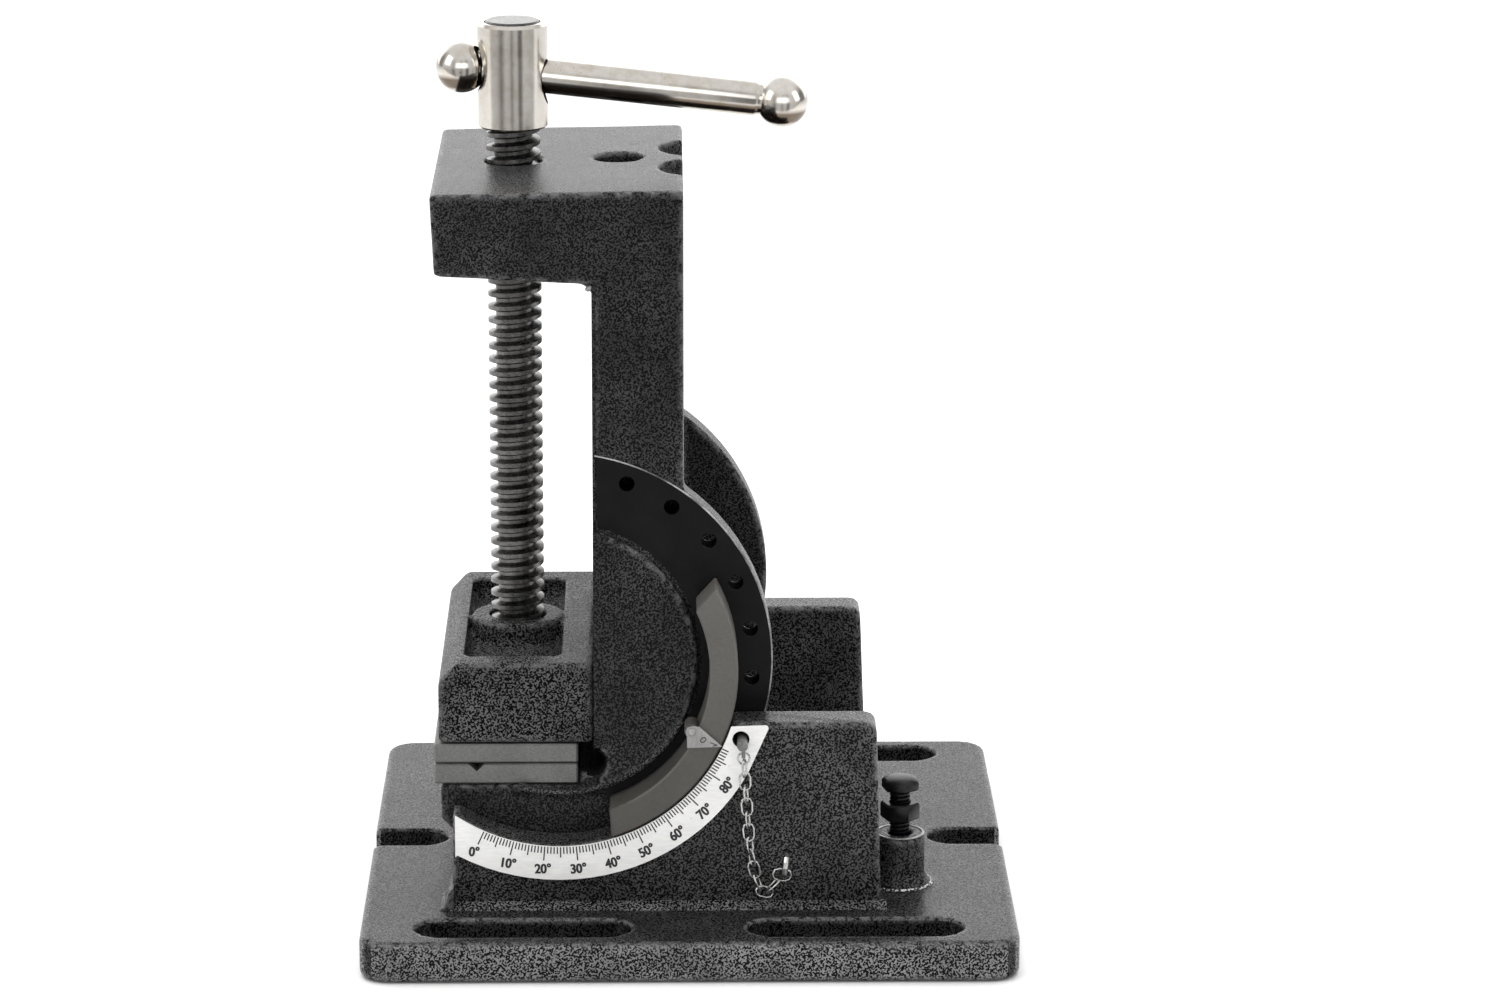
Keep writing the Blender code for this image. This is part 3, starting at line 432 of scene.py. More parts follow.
def from_bm(bm, name, normals=True):
    if normals:
        bmesh.ops.recalc_face_normals(bm, faces=bm.faces)
    bmesh.ops.scale(bm, vec=(MM, MM, MM), verts=bm.verts)
    mesh = bpy.data.meshes.new(name)
    bm.to_mesh(mesh)
    bm.free()
    obj = bpy.data.objects.new(name, mesh)
    root.objects.link(obj)
    return obj


def bm_box(bm, x, y, z):
    made = bmesh.ops.create_cube(bm, size=1.0)["verts"]
    bmesh.ops.scale(bm, vec=(x[1] - x[0], y[1] - y[0], z[1] - z[0]), verts=made)
    bmesh.ops.translate(bm, vec=((x[0] + x[1]) / 2, (y[0] + y[1]) / 2, (z[0] + z[1]) / 2), verts=made)
    return made


def box(name, x, y, z):
    bm = bmesh.new()
    bm_box(bm, x, y, z)
    return from_bm(bm, name)


def cylinder(name, start, end, r0, r1=None, segments=64, turn=0.0):
    a, b = Vector(start), Vector(end)
    bm = bmesh.new()
    bmesh.ops.create_cone(bm, cap_ends=True, segments=segments, radius1=r0, radius2=r0 if r1 is None else r1, depth=(b - a).length)
    bmesh.ops.rotate(bm, cent=(0, 0, 0), matrix=Matrix.Rotation(turn, 3, "Z"), verts=bm.verts)
    bmesh.ops.rotate(bm, cent=(0, 0, 0), matrix=Vector((0, 0, 1)).rotation_difference((b - a).normalized()).to_matrix(), verts=bm.verts)
    bmesh.ops.translate(bm, vec=(a + b) / 2, verts=bm.verts)
    return from_bm(bm, name)


def lathe(name, profile, start, direction, segments=64):
    """A closed turned body. profile is (radius, distance along the axis), first and last on the axis."""
    d = Vector(direction).normalized()
    side = d.orthogonal().normalized()
    up = d.cross(side)
    bm = bmesh.new()
    rings = []
    for r, h in profile:
        centre = Vector(start) + d * h
        if r < 1e-6:
            rings.append([bm.verts.new(centre)])
        else:
            rings.append([
                bm.verts.new(centre + side * r * math.cos(2 * math.pi * i / segments) + up * r * math.sin(2 * math.pi * i / segments))
                for i in range(segments)
            ])
    for a, b in zip(rings, rings[1:]):
        for i in range(segments):
            j = (i + 1) % segments
            if len(a) == 1:
                bm.faces.new((a[0], b[i], b[j]))
            elif len(b) == 1:
                bm.faces.new((a[i], a[j], b[0]))
            else:
                bm.faces.new((a[i], a[j], b[j], b[i]))
    return from_bm(bm, name)


def tube(name, start, end, outer, inner, segments=40):
    """A round sleeve, closed all round."""
    a, b = Vector(start), Vector(end)
    d = (b - a).normalized()
    side = d.orthogonal().normalized()
    up = d.cross(side)
    bm = bmesh.new()
    rings = [
        [bm.verts.new(c + side * r * math.cos(2 * math.pi * i / segments) + up * r * math.sin(2 * math.pi * i / segments)) for i in range(segments)]
        for c, r in ((a, outer), (b, outer), (b, inner), (a, inner))
    ]
    for k in range(4):
        one, two = rings[k], rings[(k + 1) % 4]
        for i in range(segments):
            j = (i + 1) % segments
            bm.faces.new((one[i], one[j], two[j], two[i]))
    return from_bm(bm, name)


def apply_all(obj):
    """The object's modifiers made part of its mesh."""
    graph = bpy.context.evaluated_depsgraph_get()
    graph.update()
    mesh = bpy.data.meshes.new_from_object(obj.evaluated_get(graph))
    obj.modifiers.clear()
    old = obj.data
    obj.data = mesh
    mesh.name = obj.name
    bpy.data.meshes.remove(old)
    return obj


def boolean(obj, other, operation="DIFFERENCE", solver="EXACT"):
    mod = obj.modifiers.new("cut", "BOOLEAN")
    mod.operation, mod.solver, mod.object = operation, solver, other
    apply_all(obj)
    bpy.data.objects.remove(other, do_unlink=True)
    return obj


def bevel(obj, width, segments=2, angle=35):
    mod = obj.modifiers.new("edge", "BEVEL")
    mod.width, mod.segments, mod.limit_method, mod.angle_limit = width * MM, segments, "ANGLE", rad(angle)
    return apply_all(obj)


def joined(name, objects):
    """Several closed meshes as one object, each still its own shell."""
    bm = bmesh.new()
    for o in objects:
        start = len(bm.verts)
        bm.from_mesh(o.data)
        bm.verts.ensure_lookup_table()
        bmesh.ops.transform(bm, matrix=o.matrix_world, verts=bm.verts[start:])
        bpy.data.objects.remove(o, do_unlink=True)
    mesh = bpy.data.meshes.new(name)
    bm.to_mesh(mesh)
    bm.free()
    obj = bpy.data.objects.new(name, mesh)
    root.objects.link(obj)
    return obj


def prism(name, outline, axis, lo, hi):
    """A closed outline extruded along one axis: (x, z) for Y, (y, z) for X, (x, y) for Z."""
    place = {"Y": lambda a, b, c: (a, c, b), "X": lambda a, b, c: (c, a, b), "Z": lambda a, b, c: (a, b, c)}[axis]
    bm = bmesh.new()
    low = [bm.verts.new(place(a, b, lo)) for a, b in outline]
    high = [bm.verts.new(place(a, b, hi)) for a, b in outline]
    bm.faces.new(low)
    bm.faces.new(high[::-1])
    for i in range(len(outline)):
        j = (i + 1) % len(outline)
        bm.faces.new((low[j], low[i], high[i], high[j]))
    return from_bm(bm, name)


def polar(radius, angle, centre=TILT):
    return centre[0] + radius * math.cos(rad(angle)), centre[1] + radius * math.sin(rad(angle))


def arc(radius, a0, a1, step=1.0, centre=TILT):
    n = max(2, int(round(abs(a1 - a0) / step)))
    return [polar(radius, a0 + (a1 - a0) * i / n, centre) for i in range(n + 1)]


def copy_node(node, name):
    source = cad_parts[node]
    mesh = source.data.copy()
    mesh.name = name
    obj = bpy.data.objects.new(name, mesh)
    root.objects.link(obj)
    bm = bmesh.new()
    bm.from_mesh(mesh)
    bmesh.ops.transform(bm, matrix=source.matrix_world, verts=bm.verts)
    bmesh.ops.remove_doubles(bm, verts=bm.verts, dist=1e-6)
    bm.to_mesh(mesh)
    bm.free()
    return obj


def cast(name, sources, voxel, rounds, keep=0.35):
    """A casting: closed meshes fused on a fine grid, its edges and inner corners rounded soft."""
    obj = joined(name, sources)
    remesh = obj.modifiers.new("fuse", "REMESH")
    remesh.mode, remesh.voxel_size, remesh.use_smooth_shade = "VOXEL", voxel * MM, True
    soft = obj.modifiers.new("soften", "SMOOTH")
    soft.factor, soft.iterations = 0.5, rounds
    if keep < 1:
        fewer = obj.modifiers.new("fewer", "DECIMATE")
        fewer.decimate_type, fewer.ratio = "COLLAPSE", keep
    return apply_all(obj)


# ------------------------------------------------------------------ camera, light, floor
yaw, pitch, roll = rad(0.106), rad(-14.692), rad(-0.137)
forward = Vector((math.sin(yaw) * math.cos(pitch), math.cos(yaw) * math.cos(pitch), math.sin(pitch)))
right = forward.cross(Vector((0, 0, 1))).normalized()
up = right.cross(forward)
right2 = right * math.cos(roll) + up * math.sin(roll)
up2 = -right * math.sin(roll) + up * math.cos(roll)
lens = bpy.data.cameras.new("camera")
camera = bpy.data.objects.new("camera", lens)
root.objects.link(camera)
camera.matrix_world = Matrix.Translation((-0.007642, -1.57824, 0.531759)) @ Matrix((right2, up2, -forward)).transposed().to_4x4()
lens.sensor_width = 36.0
lens.lens = 5439.73 / 1500 * 36
lens.shift_x = 0.0523
lens.clip_start, lens.clip_end = 0.05, 60
bpy.context.scene.camera = camera

bpy.context.scene.view_settings.view_transform = "Standard"
world = bpy.data.worlds.new("studio")
world.use_nodes = True
tree = world.node_tree
sky = tree.nodes["Background"]


def world_math(kind, a, b):
    node = tree.nodes.new("ShaderNodeMath")
    node.operation = kind
    for socket, value in zip(node.inputs, (a, b)):
        if isinstance(value, (int, float)):
            socket.default_value = value
        else:
            tree.links.new(value, socket)
    return node.outputs["Value"]


def world_ramp(fac, stops):
    node = tree.nodes.new("ShaderNodeValToRGB")
    while len(node.color_ramp.elements) < len(stops):
        node.color_ramp.elements.new(0.5)
    for element, (at, value) in zip(node.color_ramp.elements, stops):
        element.position, element.color = at, (value, value, value, 1)
    tree.links.new(fac, node.inputs["Fac"])
    return node.outputs["Color"]


# Soft boxes all round with a few narrow dark gaps. In front and low it is dim, and bright behind and overhead. The camera sees plain white.
where = tree.nodes.new("ShaderNodeTexCoord").outputs["Generated"]
axes = tree.nodes.new("ShaderNodeSeparateXYZ")
tree.links.new(where, axes.inputs["Vector"])
turn = world_math("ARCTAN2", axes.outputs["X"], world_math("MULTIPLY", axes.outputs["Y"], -1.0))
turn = world_math("ADD", world_math("DIVIDE", turn, 2 * math.pi), 0.5)
boxes = world_ramp(turn, [
    (0.00, 1.90), (0.14, 1.70), (0.17, 0.30), (0.22, 0.28), (0.25, 0.80), (0.36, 0.72), (0.40, 0.42), (0.44, 0.70), (0.480, 0.62), (0.488, 0.36), (0.503, 0.32),
    (0.512, 0.60), (0.545, 0.66), (0.560, 0.22), (0.585, 0.24), (0.60, 0.70), (0.70, 0.62), (0.76, 0.20), (0.83, 0.24), (0.87, 1.6), (1.00, 1.90),
])
low = world_ramp(turn, [
    (0.00, 0.9), (0.14, 0.8), (0.17, 0.12), (0.22, 0.12), (0.25, 0.62), (0.36, 0.55), (0.40, 0.20), (0.44, 0.62), (0.482, 0.52), (0.488, 0.30), (0.503, 0.26),
    (0.512, 0.50), (0.545, 0.60), (0.560, 0.14), (0.585, 0.16), (0.60, 0.66), (0.70, 0.50), (0.76, 0.10), (0.83, 0.12), (0.87, 0.8), (1.00, 0.9),
])
lift = world_ramp(axes.outputs["Z"], [(0.0, 0.0), (0.42, 0.0), (0.75, 1.0)])


def world_mix(fac, a, b):
    node = tree.nodes.new("ShaderNodeMix")
    node.data_type = "RGBA"
    for socket, value in ((node.inputs[0], fac), (node.inputs[6], a), (node.inputs[7], b)):
        if isinstance(value, (int, float)):
            socket.default_value = (value, value, value, 1)
        else:
            tree.links.new(value, socket)
    return node.outputs[2]


under = world_ramp(world_math("MULTIPLY", axes.outputs["Z"], -1.0), [(0.0, 0.0), (0.06, 1.0), (0.5, 1.0), (0.9, 1.0)])
round_about = world_mix(under, boxes, low)
glow = world_math("MULTIPLY", world_ramp(axes.outputs["Z"], [(0.0, 0.0), (0.04, 0.0), (0.10, 1.0), (0.36, 1.0), (0.48, 0.0)]),
                  world_ramp(turn, [(0.0, 0.0), (0.41, 0.0), (0.45, 1.0), (0.56, 1.0), (0.60, 0.0)]))
round_about = world_mix(glow, round_about, 2.1)
shown = world_mix(lift, round_about, 0.85)
sight = tree.nodes.new("ShaderNodeLightPath").outputs["Is Camera Ray"]
tree.links.new(world_mix(sight, shown, 1.0), sky.inputs["Color"])
sky.inputs["Strength"].default_value = 1.1
bpy.context.scene.world = world


def area(name, at, aim, size, power, colour=(1, 1, 1)):
    light = bpy.data.lights.new(name, "AREA")
    light.shape, light.size, light.size_y = "RECTANGLE", size[0], size[1]
    light.energy, light.color = power, colour
    obj = bpy.data.objects.new(name, light)
    obj.location = at
    obj.rotation_euler = (Vector(aim) - Vector(at)).to_track_quat("-Z", "Y").to_euler()
    root.objects.link(obj)
    return obj


wide = area("light_top", (-0.1, 0.3, 1.6), (0, 0, 0.1), (1.6, 1.2), 27)
wide.visible_glossy = False
sheen = area("light_top_sheen", (-0.1, 0.3, 1.6), (0, 0, 0.1), (1.6, 1.2), 7)
sheen.visible_diffuse = False
area("light_left", (-1.4, -0.5, 1.0), (0, 0, 0.12), (0.8, 1.0), 6, (1.0, 0.985, 0.955))
area("light_right", (1.3, -0.4, 0.8), (0, 0, 0.12), (0.6, 0.9), 4, (0.97, 0.985, 1.0))

bm = bmesh.new()
bmesh.ops.create_grid(bm, x_segments=1, y_segments=1, size=9000)
bmesh.ops.translate(bm, vec=(0, 9000 - 330, 0), verts=bm.verts)
floor = from_bm(bm, "floor")
floor.location.z = -0.0002
floor.data.materials.append(M["floor"])

# ------------------------------------------------------------------ castings
base = cast("base_cast", [copy_node("base_casting", "base_source")], 0.8, 3, 0.4)
finish_piece(base, "paint", "base", ["base_casting"], 0)
# the fillets at the cheeks' foot, in lighter paint as painted light, and the fillets at the cheeks' ends
for tag, sign in (("front", -1), ("rear", 1)):
    slope = prism("slope", [(sign * 64.9, 11.7), (sign * 69.3, 11.7), (sign * 69.3, 12.2), (sign * 68.7, 12.4), (sign * 66.2, 13.7), (sign * 65.4, 13.9), (sign * 64.9, 13.9)], "X", -70.4, 57.9)
    finish_piece(bevel(slope, 0.25, 2, 30), "foot_lit_paint", "base")
    slope.name = "cheek_foot_" + tag
    end = prism("end_slope", [(-68.9, 11.7), (-72.8, 11.7), (-72.8, 12.2), (-71.6, 13.0), (-70.2, 17.5), (-68.9, 19.0)], "Y", min(sign * 52.4, sign * 68.9), max(sign * 52.4, sign * 68.9))
    finish_piece(bevel(end, 0.25, 2, 30), "paint", "base")
    end.name = "cheek_end_foot_" + tag

# a ring of painted glints round the foot of the stop boss
foot = lathe("foot", [(0, 11.9), (10.05, 11.9), (10.0, 12.3), (9.6, 12.7), (0, 12.7)], (62.6, -43.6, 0), (0, 0, 1), 48)
boolean(foot, cylinder("room", (62.6, -43.6, 10), (62.6, -43.6, 14), 6.0, segments=48))
finish_piece(foot, "glint", "base", (), 50)
foot.name = "stop_boss_foot_glints"

vise_source = copy_node("vise_body", "vise_source")
for k in range(7):
    x, z = polar(56.6, -20.7 + 15 * k)
    for y0, y1 in ((-53, -44.2), (44.2, 53)):
        boolean(vise_source, cylinder("room", (x, y0, z), (x, y1, z), 3.2, segments=32))
vise = cast("vise_cast", [vise_source], 0.8, 3, 0.4)
finish_piece(vise, "vise_paint", "vise", ["vise_body"], 0)

# the flanges' turned faces, near-black with painted shade, with their index holes lined dark with painted shade, and
# the bright edge round them, a painted highlight drawn as rubbed metal
for tag, y0, y1 in (("front", -51.66, -50.6), ("rear", 50.6, 51.66)):
    face = prism("ring", arc(62.3, -72.0, 79.8, 1.5) + arc(41.4, 74.0, -72.0, 1.5), "Y", y0, y1)
    hole_shades = []
    for k in range(7):
        x, z = polar(56.6, -20.7 + 15 * k)
        boolean(face, cylinder("drill", (x, -70, z), (x, 70, z), 2.27, segments=40))
        inner = y1 if y0 < 0 else y0
        # a dark sleeve in each index hole: painted shade inside the hole
        hole_shades.append(tube("hole_shade", (x, inner + (-0.9 if y0 < 0 else 0.9), z), (x, inner + (7.0 if y0 < 0 else -7.0), z), 3.3, 2.26, 32))
    finish_piece(face, "smooth", "vise")
    face.name = "flange_face_" + tag
    finish_piece(joined("index_bores_" + tag, hole_shades), "bore", "vise")
    # the bright edge round the flange: a painted highlight
    out = y0 if y0 < 0 else y1
    rim = prism("rim", arc(62.46, -71.5, 80.2, 1.5) + arc(62.0, 80.2, -71.5, 1.5), "Y", min(out, out * 0.992) - (0.05 if out < 0 else 0), max(out, out * 0.992) + (0.05 if out > 0 else 0))
    finish_piece(bevel(rim, 0.12, 2, 40), "rubbed_highlight", "vise")
    rim.name = "flange_rim_highlight_" + tag

# a low rounded ridge round each side disc, in lighter paint as a painted highlight
for tag, y0, y1 in (("front", -54.8, -51.2), ("rear", 51.2, 54.8)):
    ridge = prism("ridge", arc(40.9, -108.0, -26.0, 1.5) + arc(39.3, -26.0, -108.0, 1.5), "Y", y0, y1)
    finish_piece(bevel(ridge, 0.6, 4, 40), "ridge_highlight_paint", "vise", (), 60)
    ridge.name = "disc_ridge_" + tag
for tag, sign in (("front", -1), ("rear", 1)):
    filler = prism("filler", [(-27.75, 57.0), (-27.75, 122.4), (-24.0, 121.3), (-24.0, 56.9)], "Y", min(sign * 51.0, sign * 54.24), max(sign * 51.0, sign * 54.24))
    finish_piece(filler, "plain_paint", "vise")
    filler.name = "disc_edge_" + tag
    finish_piece(bevel(box("bed_corner_" + tag, (-27.75, -26.9), (min(sign * 49.65, sign * 51.56), max(sign * 49.65, sign * 51.56)), (58.2, 193.0)), 0.15), "plain_paint", "vise")
# painted shade: dark pieces in the relief groove at the bed's inner corner and on the narrow strip beside it
for name, outline, reach_y in (
    ("relief_groove_shade", arc(4.16, -114.0, 66.0, 6.0, (-28.2, 52.6)) + arc(3.85, 66.0, -114.0, 6.0, (-28.2, 52.6)), 54.1),
    ("relief_floor_shade", [(-32.1, 48.95), (-29.4, 48.95), (-29.4, 49.3), (-32.1, 49.3)], 50.9),
):
    finish_piece(prism(name, outline, "Y", -reach_y, reach_y), "recess_shade", "vise")
# a small bright bead at the bed's top front corner, in the rubbed highlight finish
bead = lathe("bead", [(0, 0), (0.8, 0.1), (1.15, 0.55), (1.0, 1.1), (0.5, 1.5), (0, 1.6)], (-28.9, -51.2, 194.9), (0.5, -0.1, -0.8), 20)
finish_piece(bead, "rubbed_highlight", "vise", (), 60)
bead.name = "corner_bead"

# The jaw's source lacks a wedge low at the rear. The rear end is made as the front end mirrored, and blocks fill the core round the bores.
far_end = copy_node("moving_jaw", "far_end")
boolean(far_end, box("keep", (-80, -20), (-52.5, -33.2), (50, 90)), "INTERSECT")
for vertex in far_end.data.vertices:
    vertex.co.y = -vertex.co.y
far_end.data.flip_normals()
boolean(far_end, cylinder("room", (-42.8, 30, 72.4), (-42.8, 60, 72.4), 2.3, segments=24))
fill = [
    box("fill", x, y, z) for x, y, z in (
        ((-73.0, -45.6), (8.9, 26.6), (58.3, 76.0)), ((-73.0, -57.4), (26.4, 33.6), (58.3, 76.0)), ((-50.6, -45.6), (26.4, 33.6), (58.3, 76.0)),
        ((-45.7, -40.0), (8.9, 33.6), (58.3, 69.6)), ((-40.1, -28.2), (8.9, 33.6), (58.3, 76.2)), ((-37.2, -28.2), (8.9, 33.6), (76.0, 81.5)),
        ((-40.1, -28.2), (-9.2, 9.2), (58.3, 76.2)), ((-73.0, -40.0), (-9.2, 9.2), (58.3, 63.8)), ((-50.5, -28.2), (-33.6, -9.0), (58.3, 69.5)),
        ((-50.5, -28.6), (-50.6, -33.0), (58.3, 62.0)), ((-50.5, -28.6), (33.0, 50.6), (58.3, 62.0)),
    )
]
jaw = cast("jaw_cast", [copy_node("moving_jaw", "jaw_source"), far_end] + fill, 0.6, 3, 0.5)
finish_piece(jaw, "jaw_paint", "jaw", ["moving_jaw"], 0)

# machined strips on the bed: two ways, and the two ledges in the groove
for tag, y0, y1 in (("front", -49.6, -16.6), ("rear", 16.6, 49.6)):
    strip = bevel(box("bed_way_" + tag, (-27.75, -26.6), (y0, y1), (58.2, 191.6)), 0.25)
    finish_piece(strip, "ways", "vise", (), 20)
for tag, y0, y1 in (("front", -15.7, -10.4), ("rear", 10.4, 15.7)):
    strip = bevel(box("groove_ledge_" + tag, (-24.7, -23.6), (y0, y1), (84.6, 188.6)), 0.2)
    finish_piece(strip, "ways", "vise", (), 20)

# ------------------------------------------------------------------ jaw plates, arcs, keeper
for node, key in (
    ("keeper_plate", "jaw"), ("retaining_pin", "jaw"),
    ("front_swivel_arc", "arc"), ("rear_swivel_arc", "arc"), ("rear_lock_bolt", "black"),
    ("keeper_screw_low", "black"), ("keeper_screw_high", "black"),
    ("fixed_plate_screw_front", "black"), ("fixed_plate_screw_rear", "black"),
    ("moving_plate_screw_front", "black"), ("moving_plate_screw_rear", "black"),
    ("pointer", "pointer"), ("pointer_rivet", "pointer"), ("index_pin", "pin"), ("index_pin_ring", "zinc"),
    ("chain_staple", "zinc"), ("dial_plate", "dial"),
):
    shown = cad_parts[node]
    shown.data.materials.clear()
    shown.data.materials.append(M[key])
for node, body in (("fixed_jaw_plate", "vise"), ("moving_jaw_plate", "jaw")):
    plate = bevel(copy_node(node, node + "_ground"), 0.22, 2, 50)
    finish_piece(plate, "jaw", body, [node], 20)

# the chain hangs between the pin's ring and the staple
for i in range(1, 14):
    node = "chain_link_%02d" % i
    link = copy_node(node, "wire_" + node)
    link.data.materials.clear()
    link.data.materials.append(M["zinc"])
    link.data.shade_smooth()
    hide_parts(node)
    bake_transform(link)

# ------------------------------------------------------------------ handle
HUB = Vector((SCREW_X, 0, 248.05))
along = Vector((math.cos(rad(6.4)), 0, -math.sin(rad(6.4))))
hub = lathe("hub", [(0, 231.95), (9.6, 231.95), (10.33, 232.6), (10.33, 262.2), (9.55, 263.15), (0, 263.15)], (SCREW_X, 0, 0), (0, 0, 1), 128)
boolean(hub, cylinder("hub_bore", (SCREW_X, 0, 225), (SCREW_X, 0, 270), 8.35, segments=96))
boolean(hub, cylinder("cross", HUB - along * 20, HUB + along * 20, 6.0, segments=64))
for sign in (1, -1):
    boolean(hub, cylinder("sink", HUB + along * sign * 8.6, HUB + along * sign * 12.4, 5.9, 9.2, segments=64))
finish_piece(hub, "nickel", "screw", ["handle_hub"], 30)
hub.name = "handle_hub_plated"
ends = {"left": Vector((-66.01, 0, 249.72)), "right": Vector((28.1, 0, 239.17))}
reach = (ends["right"] - ends["left"]).length
bar = lathe("bar", [(0, 3.0), (4.55, 3.0), (4.55, 6.6), (4.75, 7.4), (5.14, 8.3), (5.14, reach - 8.3), (4.75, reach - 7.4), (4.55, reach - 6.6), (4.55, reach - 3.0), (0, reach - 3.0)], ends["left"], ends["right"] - ends["left"], 96)
finish_piece(bar, "nickel", "bar", ["handle_bar"], 40)
bar.name = "handle_bar_plated"
for tag, at in ends.items():
    toward = (HUB - at).normalized()
    ball = lathe("ball", [(7.59 * math.sin(math.pi * i / 40), -7.59 * math.cos(math.pi * i / 40)) for i in range(41)], at, toward, 96)
    ball.data.shade_smooth()
    finish_piece(ball, "nickel", "bar", ["handle_ball_" + tag], 50)
    ball.name = "handle_ball_%s_plated" % tag

# ------------------------------------------------------------------ stop bolt and nut
def hexagon(name, node, body, profile, extra):
    piece = boolean(copy_node(node, name), lathe("chamfer", profile, (*STOP, 0), (0, 0, 1), 96), "INTERSECT")
    finish_piece(joined(name, [piece, *extra]), "black", body, [node], 30)


# ------------------------------------------------------------------ lead screw
def thread(name, z0, z1, outer, inner, pitch, centre, around=80):
    """A right-hand trapezoidal thread between two heights, closed at both ends."""
    outline = [(0.0, inner + 0.22), (0.05, inner), (0.30, inner), (0.35, inner + 0.22), (0.485, outer - 0.28), (0.53, outer), (0.83, outer), (0.875, outer - 0.28)]
    n = len(outline)
    turns = int((z1 - z0) / pitch) + 3
    bm = bmesh.new()
    grid = []
    for i in range(around):
        t = 2 * math.pi * i / around
        column = []
        for k in range(turns):
            for p, r in outline:
                z = z0 - pitch * 1.5 + pitch * (k + p + i / around)
                column.append(bm.verts.new((centre[0] + r * math.cos(t), centre[1] + r * math.sin(t), z)))
        grid.append(column)
    total = turns * n
    for i in range(around):
        last = i == around - 1
        a, b, shift = grid[i], grid[0 if last else i + 1], n if last else 0
        for k in range(total - 1):
            if k + 1 + shift < total:
                bm.faces.new((a[k], b[k + shift], b[k + 1 + shift], a[k + 1]))
    for z, flip in ((z0, -1), (z1, 1)):
        geom = bm.verts[:] + bm.edges[:] + bm.faces[:]
        cut = bmesh.ops.bisect_plane(bm, geom=geom, dist=1e-5, plane_co=(0, 0, z), plane_no=(0, 0, flip), clear_outer=True)
        edges = [e for e in cut["geom_cut"] if isinstance(e, bmesh.types.BMEdge)]
        bmesh.ops.contextual_create(bm, geom=edges)
    bmesh.ops.delete(bm, geom=[v for v in bm.verts if not v.link_faces], context="VERTS")
    return from_bm(bm, name)


shank = thread("screw_thread", 79.0, 236.0, 7.98, 5.7, 4.0, (SCREW_X, 0))
end = lathe("screw_tip", [(0, 65.0), (7.2, 65.0), (7.95, 65.8), (7.95, 70.1), (6.0, 70.1), (6.0, 74.7), (7.95, 74.7), (7.95, 78.4), (6.2, 79.6), (0, 79.6)], (SCREW_X, 0, 0), (0, 0, 1))
top = lathe("screw_head", [(0, 259.0), (8.0, 259.0), (8.0, 263.2), (7.5, 263.62), (0, 263.62)], (SCREW_X, 0, 0), (0, 0, 1))
screw = joined("lead_screw_threaded", [shank, end, top])
finish_piece(screw, "screw", "screw", ["lead_screw"], 30)
hexagon("stop_bolt_headed", "stop_bolt", "stop", [(0, 10), (3.4, 10), (3.4, 40.85), (5.3, 40.85), (5.75, 41.2), (5.75, 43.2), (5.2, 43.95), (4.0, 44.5), (2.2, 44.78), (0, 44.79)], [])
hexagon("stop_nut_chamfered", "stop_nut", "nut", [(0, 31.92), (5.25, 31.92), (5.85, 32.4), (5.85, 36.5), (5.25, 36.98), (0, 36.98)], [])
for tag, z0, z1 in (("low", 28.2, 31.6), ("high", 37.3, 40.7)):
    coil = thread("coil", z0, z1, 3.12, 2.55, 1.25, STOP, 40)
    finish_piece(coil, "black", "stop", (), 30)
    coil.name = "stop_thread_" + tag
# a painted highlight: a thin bright ring round the stop boss's top rim
rim_highlight = bevel(tube("stop_post_rim_highlight", (*STOP, 27.3), (*STOP, 27.72), 7.3, 6.5, 72), 0.12, 1, 40)
finish_piece(rim_highlight, "rubbed_highlight", "base")

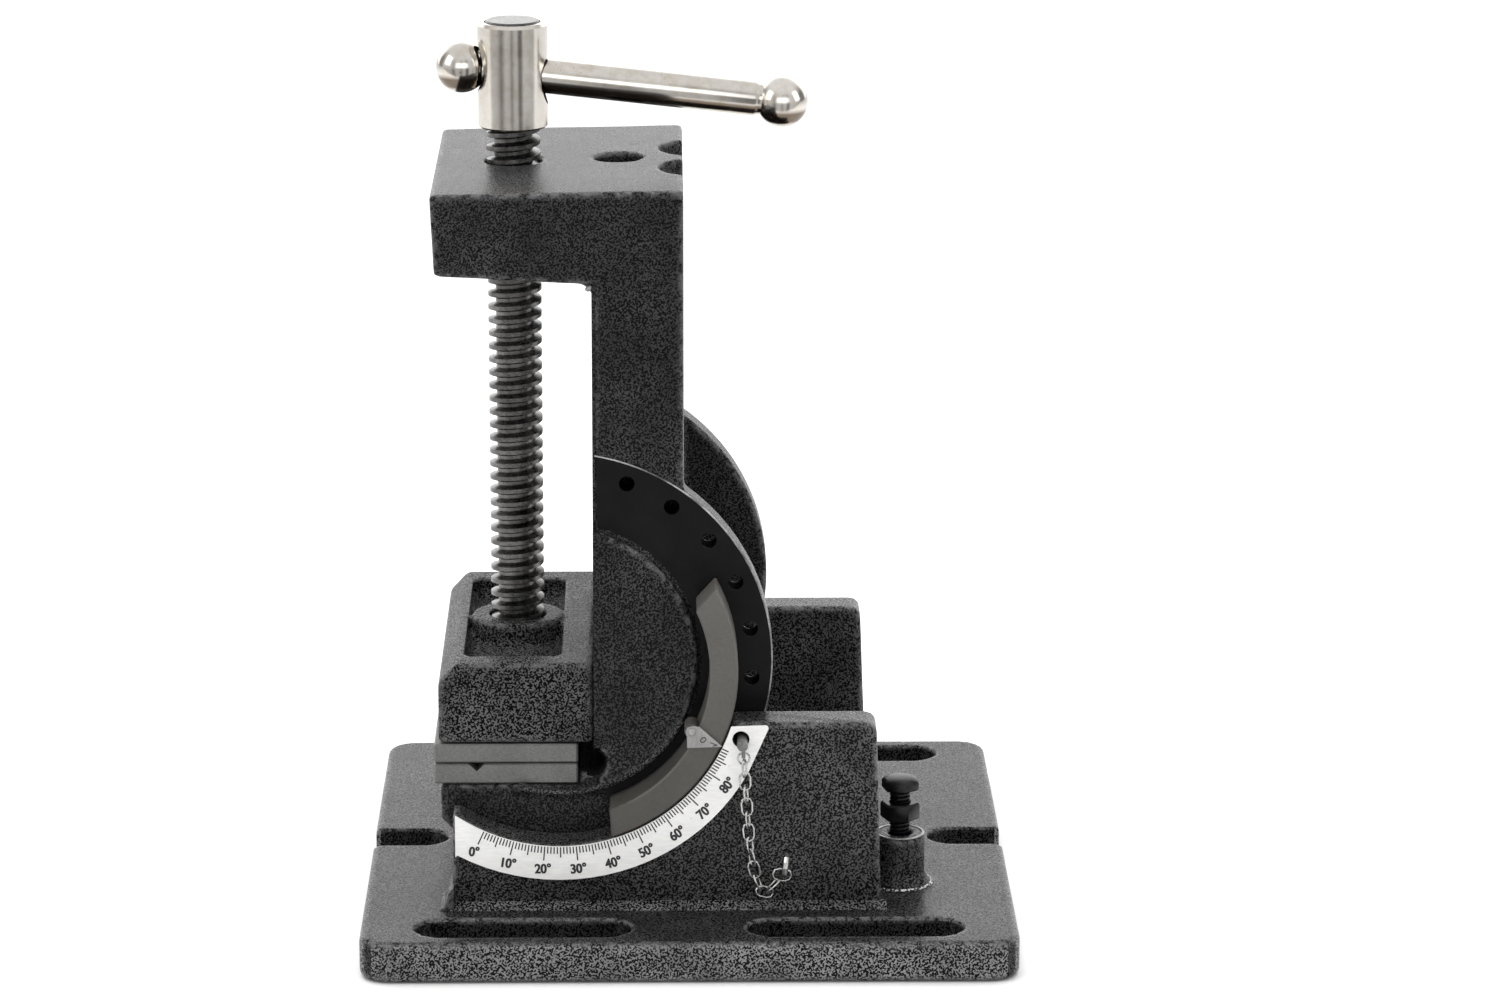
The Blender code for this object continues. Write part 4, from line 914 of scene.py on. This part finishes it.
# ------------------------------------------------------------------ dial print
marks = []
for r in range(0, 91):
    a = -114.7 + r
    reach = 57.0 if r % 10 == 0 else 55.9 if r % 5 == 0 else 54.8
    half = 0.19
    if r == 90:
        continue
    (x0, z0), (x1, z1) = polar(52.75, a), polar(reach, a)
    d = Vector((x1 - x0, z1 - z0)).normalized()
    n = Vector((-d.y, d.x)) * half
    marks.append(prism("tick_%02d" % r, [(x0 + n.x, z0 + n.y), (x0 - n.x, z0 - n.y), (x1 - n.x, z1 - n.y), (x1 + n.x, z1 + n.y)], "Y", -66.66, -66.56))
TURN = {0: -6, 10: -9, 20: 0, 30: 5, 40: 15, 50: 26, 60: 35, 70: 41, 80: 50}
for r, turn in TURN.items():
    text = bpy.data.curves.new("number_%02d" % r, "FONT")
    text.body = "%d°" % r
    text.size = 4.0 * MM
    text.align_x, text.align_y = "CENTER", "CENTER"
    text.extrude = 0.05 * MM
    text.offset = 0.0001
    holder = bpy.data.objects.new("number_%02d" % r, text)
    root.objects.link(holder)
    x, z = polar(59.7, -114.7 + r)
    holder.matrix_world = Matrix.Translation((x * MM, -66.61 * MM, z * MM)) @ Matrix.Rotation(rad(90), 4, "X") @ Matrix.Rotation(rad(turn), 4, "Z") @ Matrix.Diagonal((0.86, 1, 1, 1))
    graph = bpy.context.evaluated_depsgraph_get()
    graph.update()
    mesh = bpy.data.meshes.new_from_object(holder.evaluated_get(graph))
    made = bpy.data.objects.new("numeral_%02d" % r, mesh)
    made.matrix_world = holder.matrix_world.copy()
    root.objects.link(made)
    bpy.data.objects.remove(holder, do_unlink=True)
    bpy.context.view_layer.update()
    marks.append(made)
    for shift in (-0.085, 0.085):
        again = made.copy()
        again.data = made.data.copy()
        again.matrix_world = Matrix.Translation((shift * MM * math.cos(rad(turn)), -0.002 * MM * (1 if shift > 0 else 2), shift * MM * math.sin(rad(turn)))) @ made.matrix_world
        root.objects.link(again)
        bpy.context.view_layer.update()
        marks.append(again)
finish_piece(joined("dial_markings", marks), "print", "base", (), 0)


def ring_mark(name, centre, width, height, stroke, turn, y0, y1):
    """An oval ring, drawn as a numeral nought."""
    c, k = math.cos(rad(turn)), math.sin(rad(turn))

    def oval(a, b, name):
        pts = []
        for i in range(28):
            t = 2 * math.pi * i / 28
            x, z = a * math.cos(t), b * math.sin(t)
            pts.append((centre[0] + x * c - z * k, centre[1] + x * k + z * c))
        return prism(name, pts, "Y", y0 - (0.5 if name == "in" else 0), y1 + (0.5 if name == "in" else 0))

    return boolean(oval(width / 2, height / 2, name), oval(width / 2 - stroke, height / 2 - stroke, "in"))


def stroke_mark(a, b, width, y0, y1):
    d = (Vector(b) - Vector(a)).normalized()
    n = Vector((-d.y, d.x)) * width / 2
    return prism("stroke", [(a[0] + n.x, a[1] + n.y), (a[0] - n.x, a[1] - n.y), (b[0] - n.x, b[1] - n.y), (b[0] + n.x, b[1] + n.y)], "Y", y0, y1)


nought = ring_mark("nought", (4.2, 63.5), 1.5, 2.0, 0.26, -52, -67.38, -67.22)
chevron = [stroke_mark((6.2, 62.7), (8.2, 61.9), 0.24, -67.38, -67.22), stroke_mark((8.2, 61.9), (6.9, 61.6), 0.24, -67.38, -67.22)]
finish_piece(joined("pointer_marks", [nought, *chevron]), "print", "vise", (), 0)
